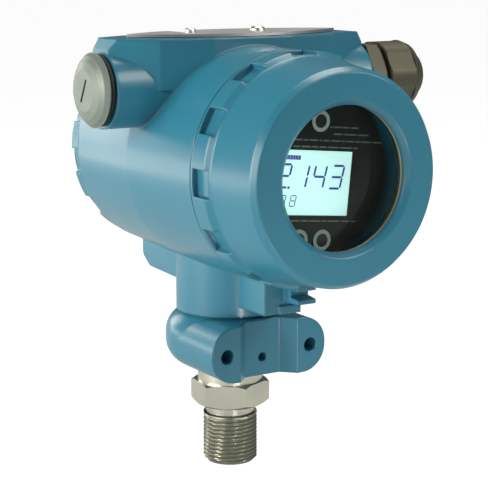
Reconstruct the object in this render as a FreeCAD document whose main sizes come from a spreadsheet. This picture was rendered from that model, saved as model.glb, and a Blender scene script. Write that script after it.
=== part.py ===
import FreeCAD, Part

import math
import os
import re

import Sketcher
from FreeCAD import Placement, Rotation, Vector

# A field pressure transmitter: a cast housing with two screwed covers, a display
# behind the front window, two conduit entries and a threaded process connection.
# Frame: origin at the centre of the connection's end face, +Z up along it,
# the window faces -Y, the cable gland points to +X. Millimetres.

SIZES = {
    # fits
    "running_gap": 0.08,
    # process connection
    "process_thread_r": 10, "process_thread_len": 18.6, "thread_chamfer": 1.4,
    "relief_r": 9, "relief_len": 3.4, "hex_flats": 25.4, "hex_height": 9, "hex_chamfer": 1.6,
    "hex_turn": 22, "collar_r": 12, "collar_len": 7, "spigot_r": 13.1, "spigot_len": 9,
    "port_r": 3, "port_len": 35, "capsule_r": 9, "capsule_seat": 8, "capsule_height": 12,
    "cable_r": 1, "cable_rise": 4.6, "cable_under_way": 1.8, "cable_wall_gap": 4.5, "oring_r": 1.1, "oring_groove_half": 1.2,
    # casting: saddle and neck
    "collar_sink": 0.6, "saddle_r": 23.8, "saddle_height": 20.4, "saddle_round_share": 0.4706,
    "ear_proud": 3.2, "ear_hole_x": 17.45, "ear_hole_up": 9.9, "ear_hole_r": 2.6, "ear_hole_depth": 14,
    "recess_depth": 4.8, "recess_half": 7.2, "bracket_hole_r": 1.65, "bracket_hole_up": 6.6,
    "bracket_hole_depth": 6, "neck_r": 19.8, "neck_root": 0.6, "neck_len": 16, "sensor_bore_up": 3.6,
    "cable_way_r": 3.3, "cable_way_y": 15.8,
    # casting: ribs and earth lug, from the underside of the barrel
    "rib_half": 7.3, "rib_set_back": 6.2, "rib_pad": 0.8, "rib_under_lug": 4,
    "rear_rib_half": 12, "rear_rib_set_back": 2, "rear_rib_drop": 6.8,
    "lug_left": 1, "lug_right": 8.5, "lug_reach": 8.4, "lug_clear": 0.6, "lug_tall": 7.4,
    "lug_slot": 2.2, "lug_slot_depth": 4.8,
    # casting: barrel
    "front_seam": 41.2, "rear_seam": 47, "seam_gap": 0.5, "barrel_r": 40.2, "barrel_taper": 1.9,
    "taper_start": 4, "barrel_wall": 6.2, "thread_wall": 4.9, "cover_thread_len": 13,
    "mouth_wall": 3.8, "mouth_depth": 3.2, "wall_front": 13, "wall_thick": 3.5,
    # casting: conduit bosses and the block under the nameplate
    "boss_r": 13.5, "boss_left": 51.8, "boss_right": 54.2, "conduit_drop": 17.5,
    "conduit_r": 10, "conduit_depth": 15, "conduit_passage_r": 8,
    "block_clear": 3.2, "block_slope": 3.2, "block_end_half": 5.6, "block_shoulder": 36,
    "block_shoulder_half": 14, "block_middle": 16, "block_middle_half": 16.8,
    # nameplate, its screws and the buttons under it
    "plate_half_len": 43.5, "plate_mid": 2, "plate_half_width": 15.5, "plate_thick": 1, "plate_lift": 0.2,
    "pivot_x": 11.8, "clamp_x": -16.3, "pivot_head_r": 3.25, "clamp_head_r": 2.35,
    "head_height": 1.5, "head_lift": 0.1, "plate_screw_r": 1.5, "plate_screw_len": 8, "screw_play": 0.25,
    "hook_widen": 5,
    "button_x": 24, "button_mid": -2.2, "button_r": 3.2, "button_depth": 9, "button_len": 6.5,
    "button_sink": 0.3,
    # covers
    "lug_proud": 0.1, "lug_zone": 8.3, "grip_rim": 1.2, "grip_depth": 2.3, "grip_half": 4.7,
    "grip_count": 12, "grip_turn": 2.3, "root_step": 1.7, "nose_step": 3.9, "face_step": 5.4,
    "cover_depth": 32.4, "nose_round": 2.2,
    "rear_lug_step": 0.7, "rear_lug_zone": 6, "rear_grip_depth": 1.7, "rear_grip_turn": 8,
    "rear_root_step": 2, "rear_nose_step": 4.2, "rear_face_step": 6.2, "rear_cover_depth": 12.6,
    "rear_cover_wall": 3.6, "rear_dish_rim": 6.4, "rear_dish": 1,
    "spigot_wall": 4.3, "seal_groove_len": 3, "seal_groove_deep": 1.9, "seal_r": 1.35,
    # window
    "glass_wall": 5.7, "glass_thick": 7, "window_lip": 5.4, "window_bevel": 1.8, "lip_thick": 3.2,
    "gasket_width": 3.6, "gasket_thick": 1, "retainer_wire_r": 0.8, "retainer_bite": 1,
    "retainer_opening": 24,
    # electronics
    "case_play": 6, "case_wall": 1.8, "case_base": 2.5, "case_proud": 1.8, "board_thick": 1.6,
    "module_screw_in": 7, "module_screw_z": -10, "module_screw_r": 1.5, "module_head_r": 2.8,
    "module_head": 2, "module_screw_bite": 2.6, "connector_half": 5, "connector_rim": 3.4,
    "connector_tall": 6, "connector_len": 3.4, "pillar_in": 6.8, "pillar_z": 9, "pillar_r": 2.2,
    "pillar_len": 4.4, "display_depth": 5.6, "display_play": 5.5, "display_wall": 1.3,
    "display_board_in": 1.7, "display_turn": 5.6, "lcd_left_share": 0.0702, "lcd_down_share": 0.1193,
    "lcd_wide_share": 0.6491, "lcd_high_share": 0.4561, "lcd_rim_w": 1.9, "lcd_rim_h": 2.1,
    "label_thick": 0.4,
    "key_r": 3.7, "key_raise": 0.5, "key_travel_room": 0.6, "top_key_in": 11.1, "low_key_in": 5.9,
    "low_key_x": 4.7, "key_play": 0.2,
    # terminal side
    "feedthrough_r": 4.5, "feedthrough_z": 2, "terminal_play": 4, "terminal_top": 8,
    "terminal_base": 11, "terminal_bar_in": 8, "terminal_bar_up": 16, "terminal_bar_high": 2,
    "terminal_bar": 6, "terminal_slot_share": 0.4, "terminal_screw_r": 3.2,
    "terminal_head": 2.4, "terminal_shank_r": 1.6, "terminal_bite": 7,
    "block_screw_in": 4.2, "block_screw_z": -5, "ground_x": 0, "ground_in": 8,
    # conduit plug and cable gland
    "plug_head_r": 13, "plug_gap": 2.3, "plug_dome": 4.2, "plug_thread_len": 10,
    "plug_slot_half": 0.6, "plug_slot_len": 9, "plug_slot_depth": 1.4, "plug_slot_turn": 28,
    "gland_flats": 24.6, "gland_gap": 1, "gland_hex_len": 5.8, "gland_bore_r": 6.6,
    "gland_throat_r": 11, "gland_throat_len": 9, "nut_gap": 2, "nut_hex_len": 11.8, "nut_dome": 6.6,
    "nut_r": 13.3, "nut_flats": 25.6, "nut_mouth_r": 7, "nut_lip_r": 8.6, "nut_seat_gap": 3,
    "washer_thick": 0.9, "washer_play": 0.2, "cable_seal_r": 4.2, "seal_shoulder": 1.4,
}

# places and radii that follow from the sizes, so that the pieces keep together
TIED = {
    # heights, from the connection's end face up
    "relief_top": "process_thread_len+relief_len", "hex_top": "relief_top+hex_height",
    "collar_top": "hex_top+collar_len", "spigot_top": "collar_top+spigot_len",
    "capsule_floor": "spigot_top-capsule_seat",
    "saddle_low": "collar_top-collar_sink", "saddle_high": "saddle_low+saddle_height",
    "saddle_round": "saddle_height*saddle_round_share",
    "ear_hole_z": "saddle_low+ear_hole_up", "bracket_hole_z": "saddle_low+bracket_hole_up",
    "neck_foot": "saddle_high+neck_root", "sensor_bore_top": "neck_foot+sensor_bore_up",
    "axis_height": "neck_foot+neck_len+barrel_r", "block_top": "axis_height+barrel_r+block_clear",
    "conduit_height": "block_top-conduit_drop", "lug_high": "axis_height-barrel_r-lug_clear",
    "lug_low": "lug_high-lug_tall", "rib_low": "lug_low-rib_under_lug",
    "rear_rib_low": "lug_high-rear_rib_drop",
    # depths along the barrel, from its seams
    "ear_front": "saddle_r+ear_proud", "rib_front": "front_seam-rib_set_back",
    "lug_front": "rib_front+lug_reach", "rear_rib_end": "rear_seam-rear_rib_set_back",
    "case_front": "front_seam+case_proud", "display_back": "case_front+board_thick+pillar_len",
    "display_front": "display_back+display_depth",
    # radii about the barrel's axis
    "barrel_rear_r": "barrel_r-barrel_taper", "chamber_r": "barrel_r-barrel_wall",
    "cover_thread_r": "barrel_r-thread_wall", "mouth_r": "barrel_r-mouth_wall",
    "lug_r": "barrel_r+lug_proud", "grip_floor_r": "lug_r-grip_depth", "cover_root_r": "lug_r-root_step",
    "cover_nose_r": "lug_r-nose_step", "cover_face_r": "lug_r-face_step",
    "rear_lug_r": "barrel_rear_r-rear_lug_step", "rear_grip_floor_r": "rear_lug_r-rear_grip_depth",
    "rear_root_r": "rear_lug_r-rear_root_step", "rear_nose_r": "rear_lug_r-rear_nose_step",
    "rear_face_r": "rear_lug_r-rear_face_step", "rear_dish_r": "rear_face_r-rear_dish_rim",
    "spigot_in_r": "cover_thread_r-spigot_wall", "seal_groove_r": "cover_thread_r-seal_groove_deep",
    "glass_r": "cover_thread_r-glass_wall", "window_r": "glass_r-window_lip",
    "gasket_in_r": "glass_r-gasket_width", "retainer_groove_r": "glass_r+retainer_bite",
    "case_r": "chamber_r-case_play", "module_screw_x": "case_r-module_screw_in",
    "connector_low": "0-(case_r-connector_rim)", "connector_high": "connector_low+connector_tall",
    "cable_ring_r": "chamber_r-cable_wall_gap", "display_r": "chamber_r-display_play",
    "display_board_r": "display_r-display_board_in", "pillar_x": "display_board_r-pillar_in",
    "lcd_x": "0-display_r*lcd_left_share", "lcd_z": "0-display_r*lcd_down_share",
    "lcd_half_w": "display_r*lcd_wide_share", "lcd_half_h": "display_r*lcd_high_share",
    "lcd_view_half_w": "lcd_half_w-lcd_rim_w", "lcd_view_half_h": "lcd_half_h-lcd_rim_h",
    "top_key_z": "display_r-top_key_in", "low_key_z": "0-(display_r-low_key_in)",
    "terminal_r": "chamber_r-terminal_play", "terminal_bar_half": "terminal_r-terminal_bar_in",
    "terminal_bar_low": "0-(terminal_r-terminal_bar_up)", "terminal_pitch": "(terminal_bar_half-1)/2",
    "terminal_slot_half": "terminal_pitch*terminal_slot_share",
    "block_screw_x": "terminal_r-block_screw_in", "ground_z": "0-(terminal_r-ground_in)",
    # places along the conduits, from the bosses' faces
    "plug_seat": "boss_left+plug_gap", "plug_tip": "plug_seat+plug_dome",
    "gland_hex_from": "boss_right+gland_gap", "gland_hex_to": "gland_hex_from+gland_hex_len",
    "gland_throat_to": "gland_hex_to+gland_throat_len", "nut_from": "gland_hex_to+nut_gap",
    "nut_shoulder": "nut_from+nut_hex_len", "nut_to": "nut_shoulder+nut_dome",
    "nut_seat": "gland_throat_to+nut_seat_gap",
}
doc = FreeCAD.newDocument("pressure_transmitter")
sheet = doc.addObject("Spreadsheet::Sheet", "Sizes")
for row, (size_name, number) in enumerate(SIZES.items(), start=1):
    sheet.set(f"A{row}", size_name)
    sheet.set(f"B{row}", str(number))
    sheet.setAlias(f"B{row}", size_name)
doc.recompute()

WORD = re.compile(r"[a-z_][a-z0-9_]*")
PLANE_ROLE = {"XY": "XY_Plane", "XZ": "XZ_Plane", "YZ": "YZ_Plane"}
parts = []


def spelled_out(text):
    """A formula with each tied name replaced by what it stands for."""
    return WORD.sub(
        lambda m: f"({spelled_out(TIED[m.group()])})" if m.group() in TIED else m.group(), str(text)
    )


def link(text):
    """Turn a formula in size names into one that other objects can use."""
    return WORD.sub(lambda m: f"Sizes.{m.group()}" if m.group() in SIZES else m.group(), spelled_out(text))


def value(text):
    """The present value of a formula in size names."""
    return float(sheet.evalExpression(spelled_out(text)))


def bind(thing, prop, text):
    """Bind a property to a formula in size names."""
    thing.setExpression(prop, link(text))


def keep(thing, label):
    """Name a finished sub-part."""
    thing.Label = label
    parts.append(thing)
    return thing


def new_body(label, at=("0", "0", "0"), turn=None):
    """An empty body, placed at three formulas and turned about its own origin."""
    body = doc.addObject("PartDesign::Body", label)
    if turn is not None:
        body.Placement = Placement(Vector(0, 0, 0), turn)
    for axis, text in zip("xyz", at):
        bind(body, f"Placement.Base.{axis}", text)
    return keep(body, label)


def datum(sketch, kind, *where, text):
    """Add a dimension to a sketch and bind it."""
    index = sketch.addConstraint(Sketcher.Constraint(kind, *where, value(text)))
    sketch.setExpression(f"Constraints[{index}]", link(text))


def fix_point(sketch, geometry, point, x_text, y_text):
    """Dimension a point from the sketch origin."""
    datum(sketch, "DistanceX", -1, 1, geometry, point, text=x_text)
    datum(sketch, "DistanceY", -1, 1, geometry, point, text=y_text)


def draw_circle(sketch, x_text, y_text, r_text):
    """A dimensioned circle."""
    centre = Vector(value(x_text), value(y_text), 0)
    circle = sketch.addGeometry(Part.Circle(centre, Vector(0, 0, 1), value(r_text)))
    fix_point(sketch, circle, 3, x_text, y_text)
    datum(sketch, "Radius", circle, text=r_text)


def corner_round(before, corner, after, radius):
    """Tangent points, centre and turning side of a rounded corner."""
    into = (before - corner).normalize()
    out = (after - corner).normalize()
    half = into.getAngle(out) / 2
    reach = radius / math.tan(half)
    centre = corner + (into + out).normalize() * (radius / math.sin(half))
    left_turn = (into * -1).cross(out).z > 0
    return corner + into * reach, corner + out * reach, centre, left_turn


def draw_outline(sketch, points):
    """A closed outline; a third value at a point rounds that corner."""
    spots = [Vector(value(point[0]), value(point[1]), 0) for point in points]
    count = len(points)
    starts = list(spots)
    ends = list(spots)
    rounds = {}
    for i, point in enumerate(points):
        if len(point) == 3:
            before, after = spots[i - 1], spots[(i + 1) % count]
            rounds[i] = corner_round(before, spots[i], after, value(point[2]))
            ends[i], starts[i] = rounds[i][0], rounds[i][1]
    lines = [
        sketch.addGeometry(Part.LineSegment(starts[i], ends[(i + 1) % count]))
        for i in range(count)
    ]
    for i, point in enumerate(points):
        entering, leaving = lines[i - 1], lines[i]
        if i not in rounds:
            sketch.addConstraint(Sketcher.Constraint("Coincident", entering, 2, leaving, 1))
            fix_point(sketch, leaving, 1, point[0], point[1])
            continue
        first, last, centre, left_turn = rounds[i]
        a, b = (first, last) if left_turn else (last, first)
        angles = [math.atan2(p.y - centre.y, p.x - centre.x) for p in (a, b)]
        circle = Part.Circle(centre, Vector(0, 0, 1), value(point[2]))
        arc = sketch.addGeometry(Part.ArcOfCircle(circle, *angles))
        near, far = (1, 2) if left_turn else (2, 1)
        sketch.addConstraint(Sketcher.Constraint("Tangent", entering, 2, arc, near))
        sketch.addConstraint(Sketcher.Constraint("Tangent", arc, far, leaving, 1))
        datum(sketch, "Radius", arc, text=point[2])
        corner = sketch.addGeometry(Part.Point(spots[i]), True)
        sketch.addConstraint(Sketcher.Constraint("PointOnObject", corner, 1, entering))
        sketch.addConstraint(Sketcher.Constraint("PointOnObject", corner, 1, leaving))
        fix_point(sketch, corner, 1, point[0], point[1])


def draw_lens(sketch, middle_x, half_len, half_width):
    """Two equal arcs that meet in points on the X axis."""
    radius = f"(({half_len})^2+({half_width})^2)/(2*({half_width}))"
    long, wide, r = value(half_len), value(half_width), value(radius)
    swing = math.asin(long / r)
    for side in (1, -1):
        circle = Part.Circle(Vector(value(middle_x), side * (wide - r), 0), Vector(0, 0, 1), r)
        middle = side * math.pi / 2
        arc = sketch.addGeometry(Part.ArcOfCircle(circle, middle - swing, middle + swing))
        right, left = (1, 2) if side > 0 else (2, 1)
        fix_point(sketch, arc, right, f"{middle_x}+{half_len}", "0")
        fix_point(sketch, arc, left, f"{middle_x}-({half_len})", "0")
        datum(sketch, "Radius", arc, text=radius)


def new_sketch(body, plane, loops, shift="0"):
    """A sketch on one of the body's origin planes; a loop is a list of points, or a circle."""
    sketch = body.newObject("Sketcher::SketchObject", "Sketch")
    support = next(f for f in body.Origin.OriginFeatures if f.Role == PLANE_ROLE[plane])
    sketch.AttachmentSupport = (support, [""])
    sketch.MapMode = "FlatFace"
    if shift != "0":
        bind(sketch, "AttachmentOffset.Base.z", shift)
    for loop in loops:
        if isinstance(loop, list):
            draw_outline(sketch, loop)
        elif loop[0] == "lens":
            draw_lens(sketch, *loop[1:])
        else:
            draw_circle(sketch, *loop)
    return sketch


def check_step(body, feature, before, cut):
    """Stop if a feature failed, or added or removed nothing."""
    doc.recompute()
    gained = feature.Shape.Volume - before
    if not feature.isValid() or (gained > -1e-3 if cut else gained < 1e-3):
        raise RuntimeError(f"{body.Label}: {feature.Name} changed the volume by {gained:.3f}")
    return feature


def volume_of(body):
    """The body's volume before its next feature."""
    return body.Shape.Volume if body.Tip and not body.Shape.isNull() else 0.0


def turned(body, axis, outline, cut=False):
    """Revolve an outline of (along, radius) points about the body's X, Y or Z axis."""
    before = volume_of(body)
    if axis == "Z":
        plane, reference, points = "XZ", "V_Axis", [(p[1], p[0], *p[2:]) for p in outline]
    else:
        plane, reference, points = ("YZ" if axis == "Y" else "XZ"), "H_Axis", outline
    sketch = new_sketch(body, plane, [points])
    feature = body.newObject("PartDesign::Groove" if cut else "PartDesign::Revolution", "Turn")
    feature.Profile = sketch
    feature.ReferenceAxis = (sketch, [reference])
    feature.Angle = 360
    return check_step(body, feature, before, cut)


def prism(body, plane, loops, low, high, cut=False):
    """Extrude loops between two places along the third axis of the body."""
    before = volume_of(body)
    start = f"-({high})" if plane == "XZ" else low
    sketch = new_sketch(body, plane, loops, start)
    feature = body.newObject("PartDesign::Pocket" if cut else "PartDesign::Pad", "Prism")
    feature.Profile = sketch
    feature.Reversed = cut
    bind(feature, "Length", f"({high})-({low})")
    return check_step(body, feature, before, cut)


def disc(low, high, radius, inner="0"):
    """The outline of a disc or ring, for turning."""
    return [(low, inner), (high, inner), (high, radius), (low, radius)]


def rectangle(x0, y0, x1, y1):
    """A rectangle as a loop."""
    return [(x0, y0), (x1, y0), (x1, y1), (x0, y1)]


def repeat_round(body, feature, axis_role, count_text):
    """Repeat a feature evenly round an axis of the body."""
    pattern = body.newObject("PartDesign::PolarPattern", "Round")
    pattern.Originals = [feature]
    pattern.Axis = (next(f for f in body.Origin.OriginFeatures if f.Role == axis_role), [""])
    pattern.Angle = 360
    bind(pattern, "Occurrences", count_text)
    body.Tip = pattern
    doc.recompute()
    return pattern


def ring_seal(label, axis, at, major, minor):
    """A rubber ring about an axis through a point, its round section given eight flats."""
    section = []
    for k in range(8):
        angle = math.pi * (k + 0.5) / 4
        along = f"({minor})*{math.cos(angle):.9f}"
        section.append((along, f"{major}+({minor})*{math.sin(angle):.9f}"))
    turned(new_body(label, at), axis, section)


AXIS = ("0", "0", "axis_height")
CONDUIT = ("0", "0", "conduit_height")
FRONT_TURN = Rotation(Vector(0, 0, 1), 180)
GRIP_TURN = Rotation(Vector(0, 1, 0), -SIZES["grip_turn"])
REAR_GRIP_TURN = Rotation(Vector(0, 1, 0), -SIZES["rear_grip_turn"])
WALL_BACK = "-(wall_front-wall_thick)"


def build_housing():
    """The casting: barrel, bosses, block, neck, saddle with ears, ribs and earth lug."""
    body = new_body("housing")
    # the barrel is turned about the Y axis, so its outlines are drawn round the barrel's height
    front_end = "-(front_seam-seam_gap)"
    rear_end = "rear_seam-seam_gap"
    barrel = [
        (front_end, "0"), (rear_end, "0"), (rear_end, "barrel_rear_r"),
        ("taper_start", "barrel_r"), (front_end, "barrel_r"),
    ]
    turned_at_height(body, barrel)
    saddle_side = ("saddle_r", "saddle_round")
    turned(body, "Z", [
        ("saddle_low", "0"), ("saddle_low", *saddle_side), ("saddle_high", *saddle_side),
        ("neck_foot", "neck_r"), ("axis_height-chamber_r+3", "neck_r"),
        ("axis_height-chamber_r+3", "0"),
    ])
    ear = [
        ("-saddle_r", "saddle_low", "saddle_round"), ("saddle_r", "saddle_low", "saddle_round"),
        ("saddle_r", "saddle_high", "saddle_round"), ("-saddle_r", "saddle_high", "saddle_round"),
    ]
    prism(body, "XZ", [ear], "-ear_front", "0")
    build_ribs(body)
    # conduit bosses and the block between them
    prism(body, "YZ", [("0", "conduit_height", "boss_r")], "-boss_left", "boss_right")
    for side, end in (("", "boss_right"), ("-", "-boss_left")):
        half = [
            (end, "-block_end_half"), (end, "block_end_half"),
            (f"{side}block_shoulder", "block_shoulder_half"),
            (f"{side}block_middle", "block_middle_half"), ("0", "block_middle_half"),
            ("0", "-block_middle_half"), (f"{side}block_middle", "-block_middle_half"),
            (f"{side}block_shoulder", "-block_shoulder_half"),
        ]
        prism(body, "XY", [half], "conduit_height", "block_top")
        slope = [
            (f"{end}-({side}block_slope)", "block_top"), (end, "conduit_height+boss_r"),
            (f"{end}+({side}1)", "conduit_height+boss_r"), (f"{end}+({side}1)", "block_top+1"),
            (f"{end}-({side}block_slope)", "block_top+1"),
        ]
        prism(body, "XZ", [slope], "-block_end_half-3", "block_end_half+3", cut=True)
    cut_saddle(body)
    cut_bores(body)
    return body


def turned_at_height(body, outline, cut=False):
    """Turn an outline about the line parallel to Y at the barrel's height."""
    before = volume_of(body)
    raised = [(along, f"axis_height+({radius})", *rest) for along, radius, *rest in outline]
    sketch = new_sketch(body, "YZ", [raised])
    axis_line = Part.LineSegment(Vector(-10, value("axis_height"), 0), Vector(10, value("axis_height"), 0))
    line = sketch.addGeometry(axis_line, True)
    fix_point(sketch, line, 1, "-10", "axis_height")
    fix_point(sketch, line, 2, "10", "axis_height")
    feature = body.newObject("PartDesign::Groove" if cut else "PartDesign::Revolution", "Turn")
    feature.Profile = sketch
    feature.ReferenceAxis = (sketch, ["Axis0"])
    feature.Angle = 360
    return check_step(body, feature, before, cut)


def build_ribs(body):
    """The ribs under the barrel, before and behind the neck, and the forked earth lug."""
    buried = "axis_height-chamber_r-2"
    prism(body, "YZ", [rectangle("-rib_front", "rib_low", "0", buried)], "-rib_half", "rib_half")
    pad = rectangle("-1.5", "rib_low", "rib_half", "rib_low+3")
    prism(body, "XZ", [pad], "-rib_front-rib_pad", "-rib_front+1")
    rear = [
        ("0", "rear_rib_low-0.6"), ("rear_rib_end-5.5", "rear_rib_low+1.2", "4"),
        ("rear_rib_end", "rear_rib_low+5", "3"), ("rear_rib_end", buried), ("0", buried),
    ]
    prism(body, "YZ", [rear], "-rear_rib_half", "rear_rib_half")
    barrel_end = "-(front_seam-seam_gap)"
    slot_end = "-lug_front+lug_slot_depth"
    slot_mid = "(lug_low+lug_high)/2"
    lug = [
        ("-rib_front+4", "lug_low"), ("-lug_front", "lug_low+0.5"),
        ("-lug_front", f"{slot_mid}-lug_slot/2-0.6"), (slot_end, f"{slot_mid}-lug_slot/2"),
        (slot_end, f"{slot_mid}+lug_slot/2"), ("-lug_front", f"{slot_mid}+lug_slot/2+0.4"),
        ("-lug_front", "lug_high"), (barrel_end, "lug_high"), (barrel_end, buried),
        ("-rib_front+4", buried),
    ]
    prism(body, "YZ", [lug], "lug_left", "lug_right")


def cut_saddle(body):
    """The recess between the ears and the bracket's tapped holes."""
    face = "-ear_front"
    floor = "-(ear_front-recess_depth)"
    recess = [
        ("-recess_half", floor), ("recess_half", floor), ("recess_half+recess_depth", face),
        ("recess_half+recess_depth", "-ear_front-1"), ("-recess_half-recess_depth", "-ear_front-1"),
        ("-recess_half-recess_depth", face),
    ]
    prism(body, "XY", [recess], "saddle_low-1", "saddle_high+1", cut=True)
    for side in ("", "-"):
        hole = (f"{side}ear_hole_x", "ear_hole_z", "ear_hole_r")
        prism(body, "XZ", [hole], "-ear_front-1", "-ear_front+ear_hole_depth", cut=True)
    middle = ("0", "bracket_hole_z", "bracket_hole_r")
    prism(body, "XZ", [middle], "-ear_front-1", f"{floor}+bracket_hole_depth", cut=True)


def cut_bores(body):
    """Both compartments, the conduit bores, the sensor bore and the holes in the top."""
    front_end = "-(front_seam-seam_gap)"
    rear_end = "rear_seam-seam_gap"
    turned_at_height(body, [
        (f"{front_end}-1", "0"), (f"{front_end}-1", "mouth_r"), (f"{front_end}+mouth_depth", "mouth_r"),
        (f"{front_end}+mouth_depth", "cover_thread_r"),
        (f"{front_end}+cover_thread_len", "cover_thread_r"),
        (f"{front_end}+cover_thread_len", "chamber_r"), ("-wall_front", "chamber_r"),
        ("-wall_front", "0"),
    ], cut=True)
    turned_at_height(body, [
        (WALL_BACK, "0"), (WALL_BACK, "chamber_r"), (f"{rear_end}-cover_thread_len", "chamber_r"),
        (f"{rear_end}-cover_thread_len", "cover_thread_r"),
        (f"{rear_end}-mouth_depth", "cover_thread_r"), (f"{rear_end}-mouth_depth", "mouth_r"),
        (f"{rear_end}+1", "mouth_r"), (f"{rear_end}+1", "0"),
    ], cut=True)
    for low, high in (("-boss_left-1", "-boss_left+conduit_depth"),
                      ("boss_right-conduit_depth", "boss_right+1")):
        prism(body, "YZ", [("0", "conduit_height", "conduit_r")], low, high, cut=True)
    prism(body, "YZ", [("0", "conduit_height", "conduit_passage_r")], "-boss_left+1", "boss_right-1", cut=True)
    turned(body, "Z", disc("saddle_low-1", "sensor_bore_top", "spigot_r+running_gap"), cut=True)
    way = ("0", "-cable_way_y", "cable_way_r")
    prism(body, "XY", [way], "sensor_bore_top-5", "axis_height-chamber_r+3", cut=True)
    feed = ("0", "axis_height+feedthrough_z", "feedthrough_r")
    prism(body, "XZ", [feed], "-wall_front-0.5", f"{WALL_BACK}+0.5", cut=True)
    for side in ("", "-"):
        hole = (f"{side}module_screw_x", "axis_height+module_screw_z", "module_screw_r")
        prism(body, "XZ", [hole], "-wall_front-0.5", "-wall_front+module_screw_bite", cut=True)
        button = (f"button_mid{side or '+'}button_x", "0", "button_r+running_gap")
        prism(body, "XY", [button], "block_top-button_depth", "block_top+1", cut=True)
    for x_text in ("pivot_x", "clamp_x"):
        hole = (x_text, "0", "plate_screw_r")
        prism(body, "XY", [hole], "block_top-plate_screw_len", "block_top+1", cut=True)


HEX_TURN = Rotation(Vector(0, 0, 1), SIZES["hex_turn"])


def hexagon(across_flats, y_text="0", z_text="0"):
    """The six corners of a hexagon about a point."""
    corner_r = f"({across_flats})/{math.sqrt(3):.9f}"
    corners = []
    for k in range(6):
        x_share, y_share = math.cos(math.pi * k / 3), math.sin(math.pi * k / 3)
        corners.append((f"{y_text}+{corner_r}*{x_share:.9f}", f"{z_text}+{corner_r}*{y_share:.9f}"))
    return corners


def build_connection():
    """The threaded hexagon that screws into the process, its seal and the sensor capsule."""
    corner_r = f"hex_flats/{math.sqrt(3):.9f}"
    body = new_body("process_connection", turn=HEX_TURN)
    turned(body, "Z", [
        ("0", "0"), ("0", "process_thread_r-thread_chamfer"), ("thread_chamfer", "process_thread_r"),
        ("process_thread_len", "process_thread_r"), ("process_thread_len", "relief_r"),
        ("relief_top", "relief_r"), ("relief_top", f"{corner_r}-hex_chamfer*1.7"),
        ("relief_top+hex_chamfer", corner_r), ("hex_top-hex_chamfer/2", corner_r),
        ("hex_top", f"{corner_r}-hex_chamfer*0.85"), ("hex_top", "collar_r"), ("collar_top", "collar_r"),
        ("collar_top", "spigot_r"), ("spigot_top", "spigot_r"), ("spigot_top", "0"),
    ])
    around = ("0", "0", f"{corner_r}+3")
    prism(body, "XY", [around, hexagon("hex_flats")], "relief_top", "hex_top", cut=True)
    groove = "collar_top+oring_groove_half+1.2"
    turned(body, "Z", disc(f"{groove}-oring_groove_half", f"{groove}+oring_groove_half", "spigot_r+1",
                           "spigot_r-oring_r*2"), cut=True)
    turned(body, "Z", disc("-1", "port_len", "port_r"), cut=True)
    turned(body, "Z", disc("capsule_floor", "spigot_top+1", "capsule_r+running_gap"), cut=True)
    ring_seal("connection_oring", "Z", ("0", "0", groove), "spigot_r-oring_r*0.94", "oring_r*0.94")
    capsule = new_body("pressure_sensor", ("0", "0", "capsule_floor"))
    turned(capsule, "Z", [
        ("0", "0"), ("0", "capsule_r"), ("capsule_height-3", "capsule_r"),
        ("capsule_height-3", "capsule_r-2.5"), ("capsule_height", "capsule_r-2.5"),
        ("capsule_height", "0"),
    ])


def straight_and_bends(points, bend_r):
    """A path of straight runs joined by tangent arcs."""
    edges = []
    start = points[0]
    for before, corner, after in zip(points, points[1:], points[2:]):
        first, last, centre, _ = corner_round_3d(before, corner, after, bend_r)
        edges.append(Part.LineSegment(start, first).toShape())
        edges.append(Part.Arc(first, centre + (corner - centre).normalize() * bend_r, last).toShape())
        start = last
    edges.append(Part.LineSegment(start, points[-1]).toShape())
    return Part.Wire(edges)


def corner_round_3d(before, corner, after, radius):
    """Tangent points and centre of an arc in the plane of three points."""
    into = (before - corner).normalize()
    out = (after - corner).normalize()
    half = into.getAngle(out) / 2
    reach = radius / math.tan(half)
    centre = corner + (into + out).normalize() * (radius / math.sin(half))
    return corner + into * reach, corner + out * reach, centre, None


def build_sensor_cable():
    """The lead from the sensor up to the connector on the main board, with eight flats round it."""
    low = value("capsule_floor+capsule_height")
    floor = value("axis_height-cable_ring_r")
    way_y = -value("cable_way_y")
    way_low = value("sensor_bore_top-cable_under_way")
    end_y = -value("case_front+board_thick+connector_len/2+0.3")
    end_z = value("axis_height+connector_low")
    bend_r = value("cable_r*3")
    points = [
        Vector(0, 0, low), Vector(0, 0, low + value("cable_rise")), Vector(0, way_y, way_low), Vector(0, way_y, floor),
        Vector(0, end_y, floor), Vector(0, end_y, end_z),
    ]
    path = straight_and_bends(points, bend_r)
    rim = Part.Circle(points[0], Vector(0, 0, 1), value("cable_r"))
    section = Part.makePolygon([rim.value(math.pi * k / 4) for k in range(9)])
    cable = doc.addObject("Part::Feature", "sensor_cable")
    cable.Shape = path.makePipeShell([section], True, False)
    keep(cable, "sensor_cable")


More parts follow.
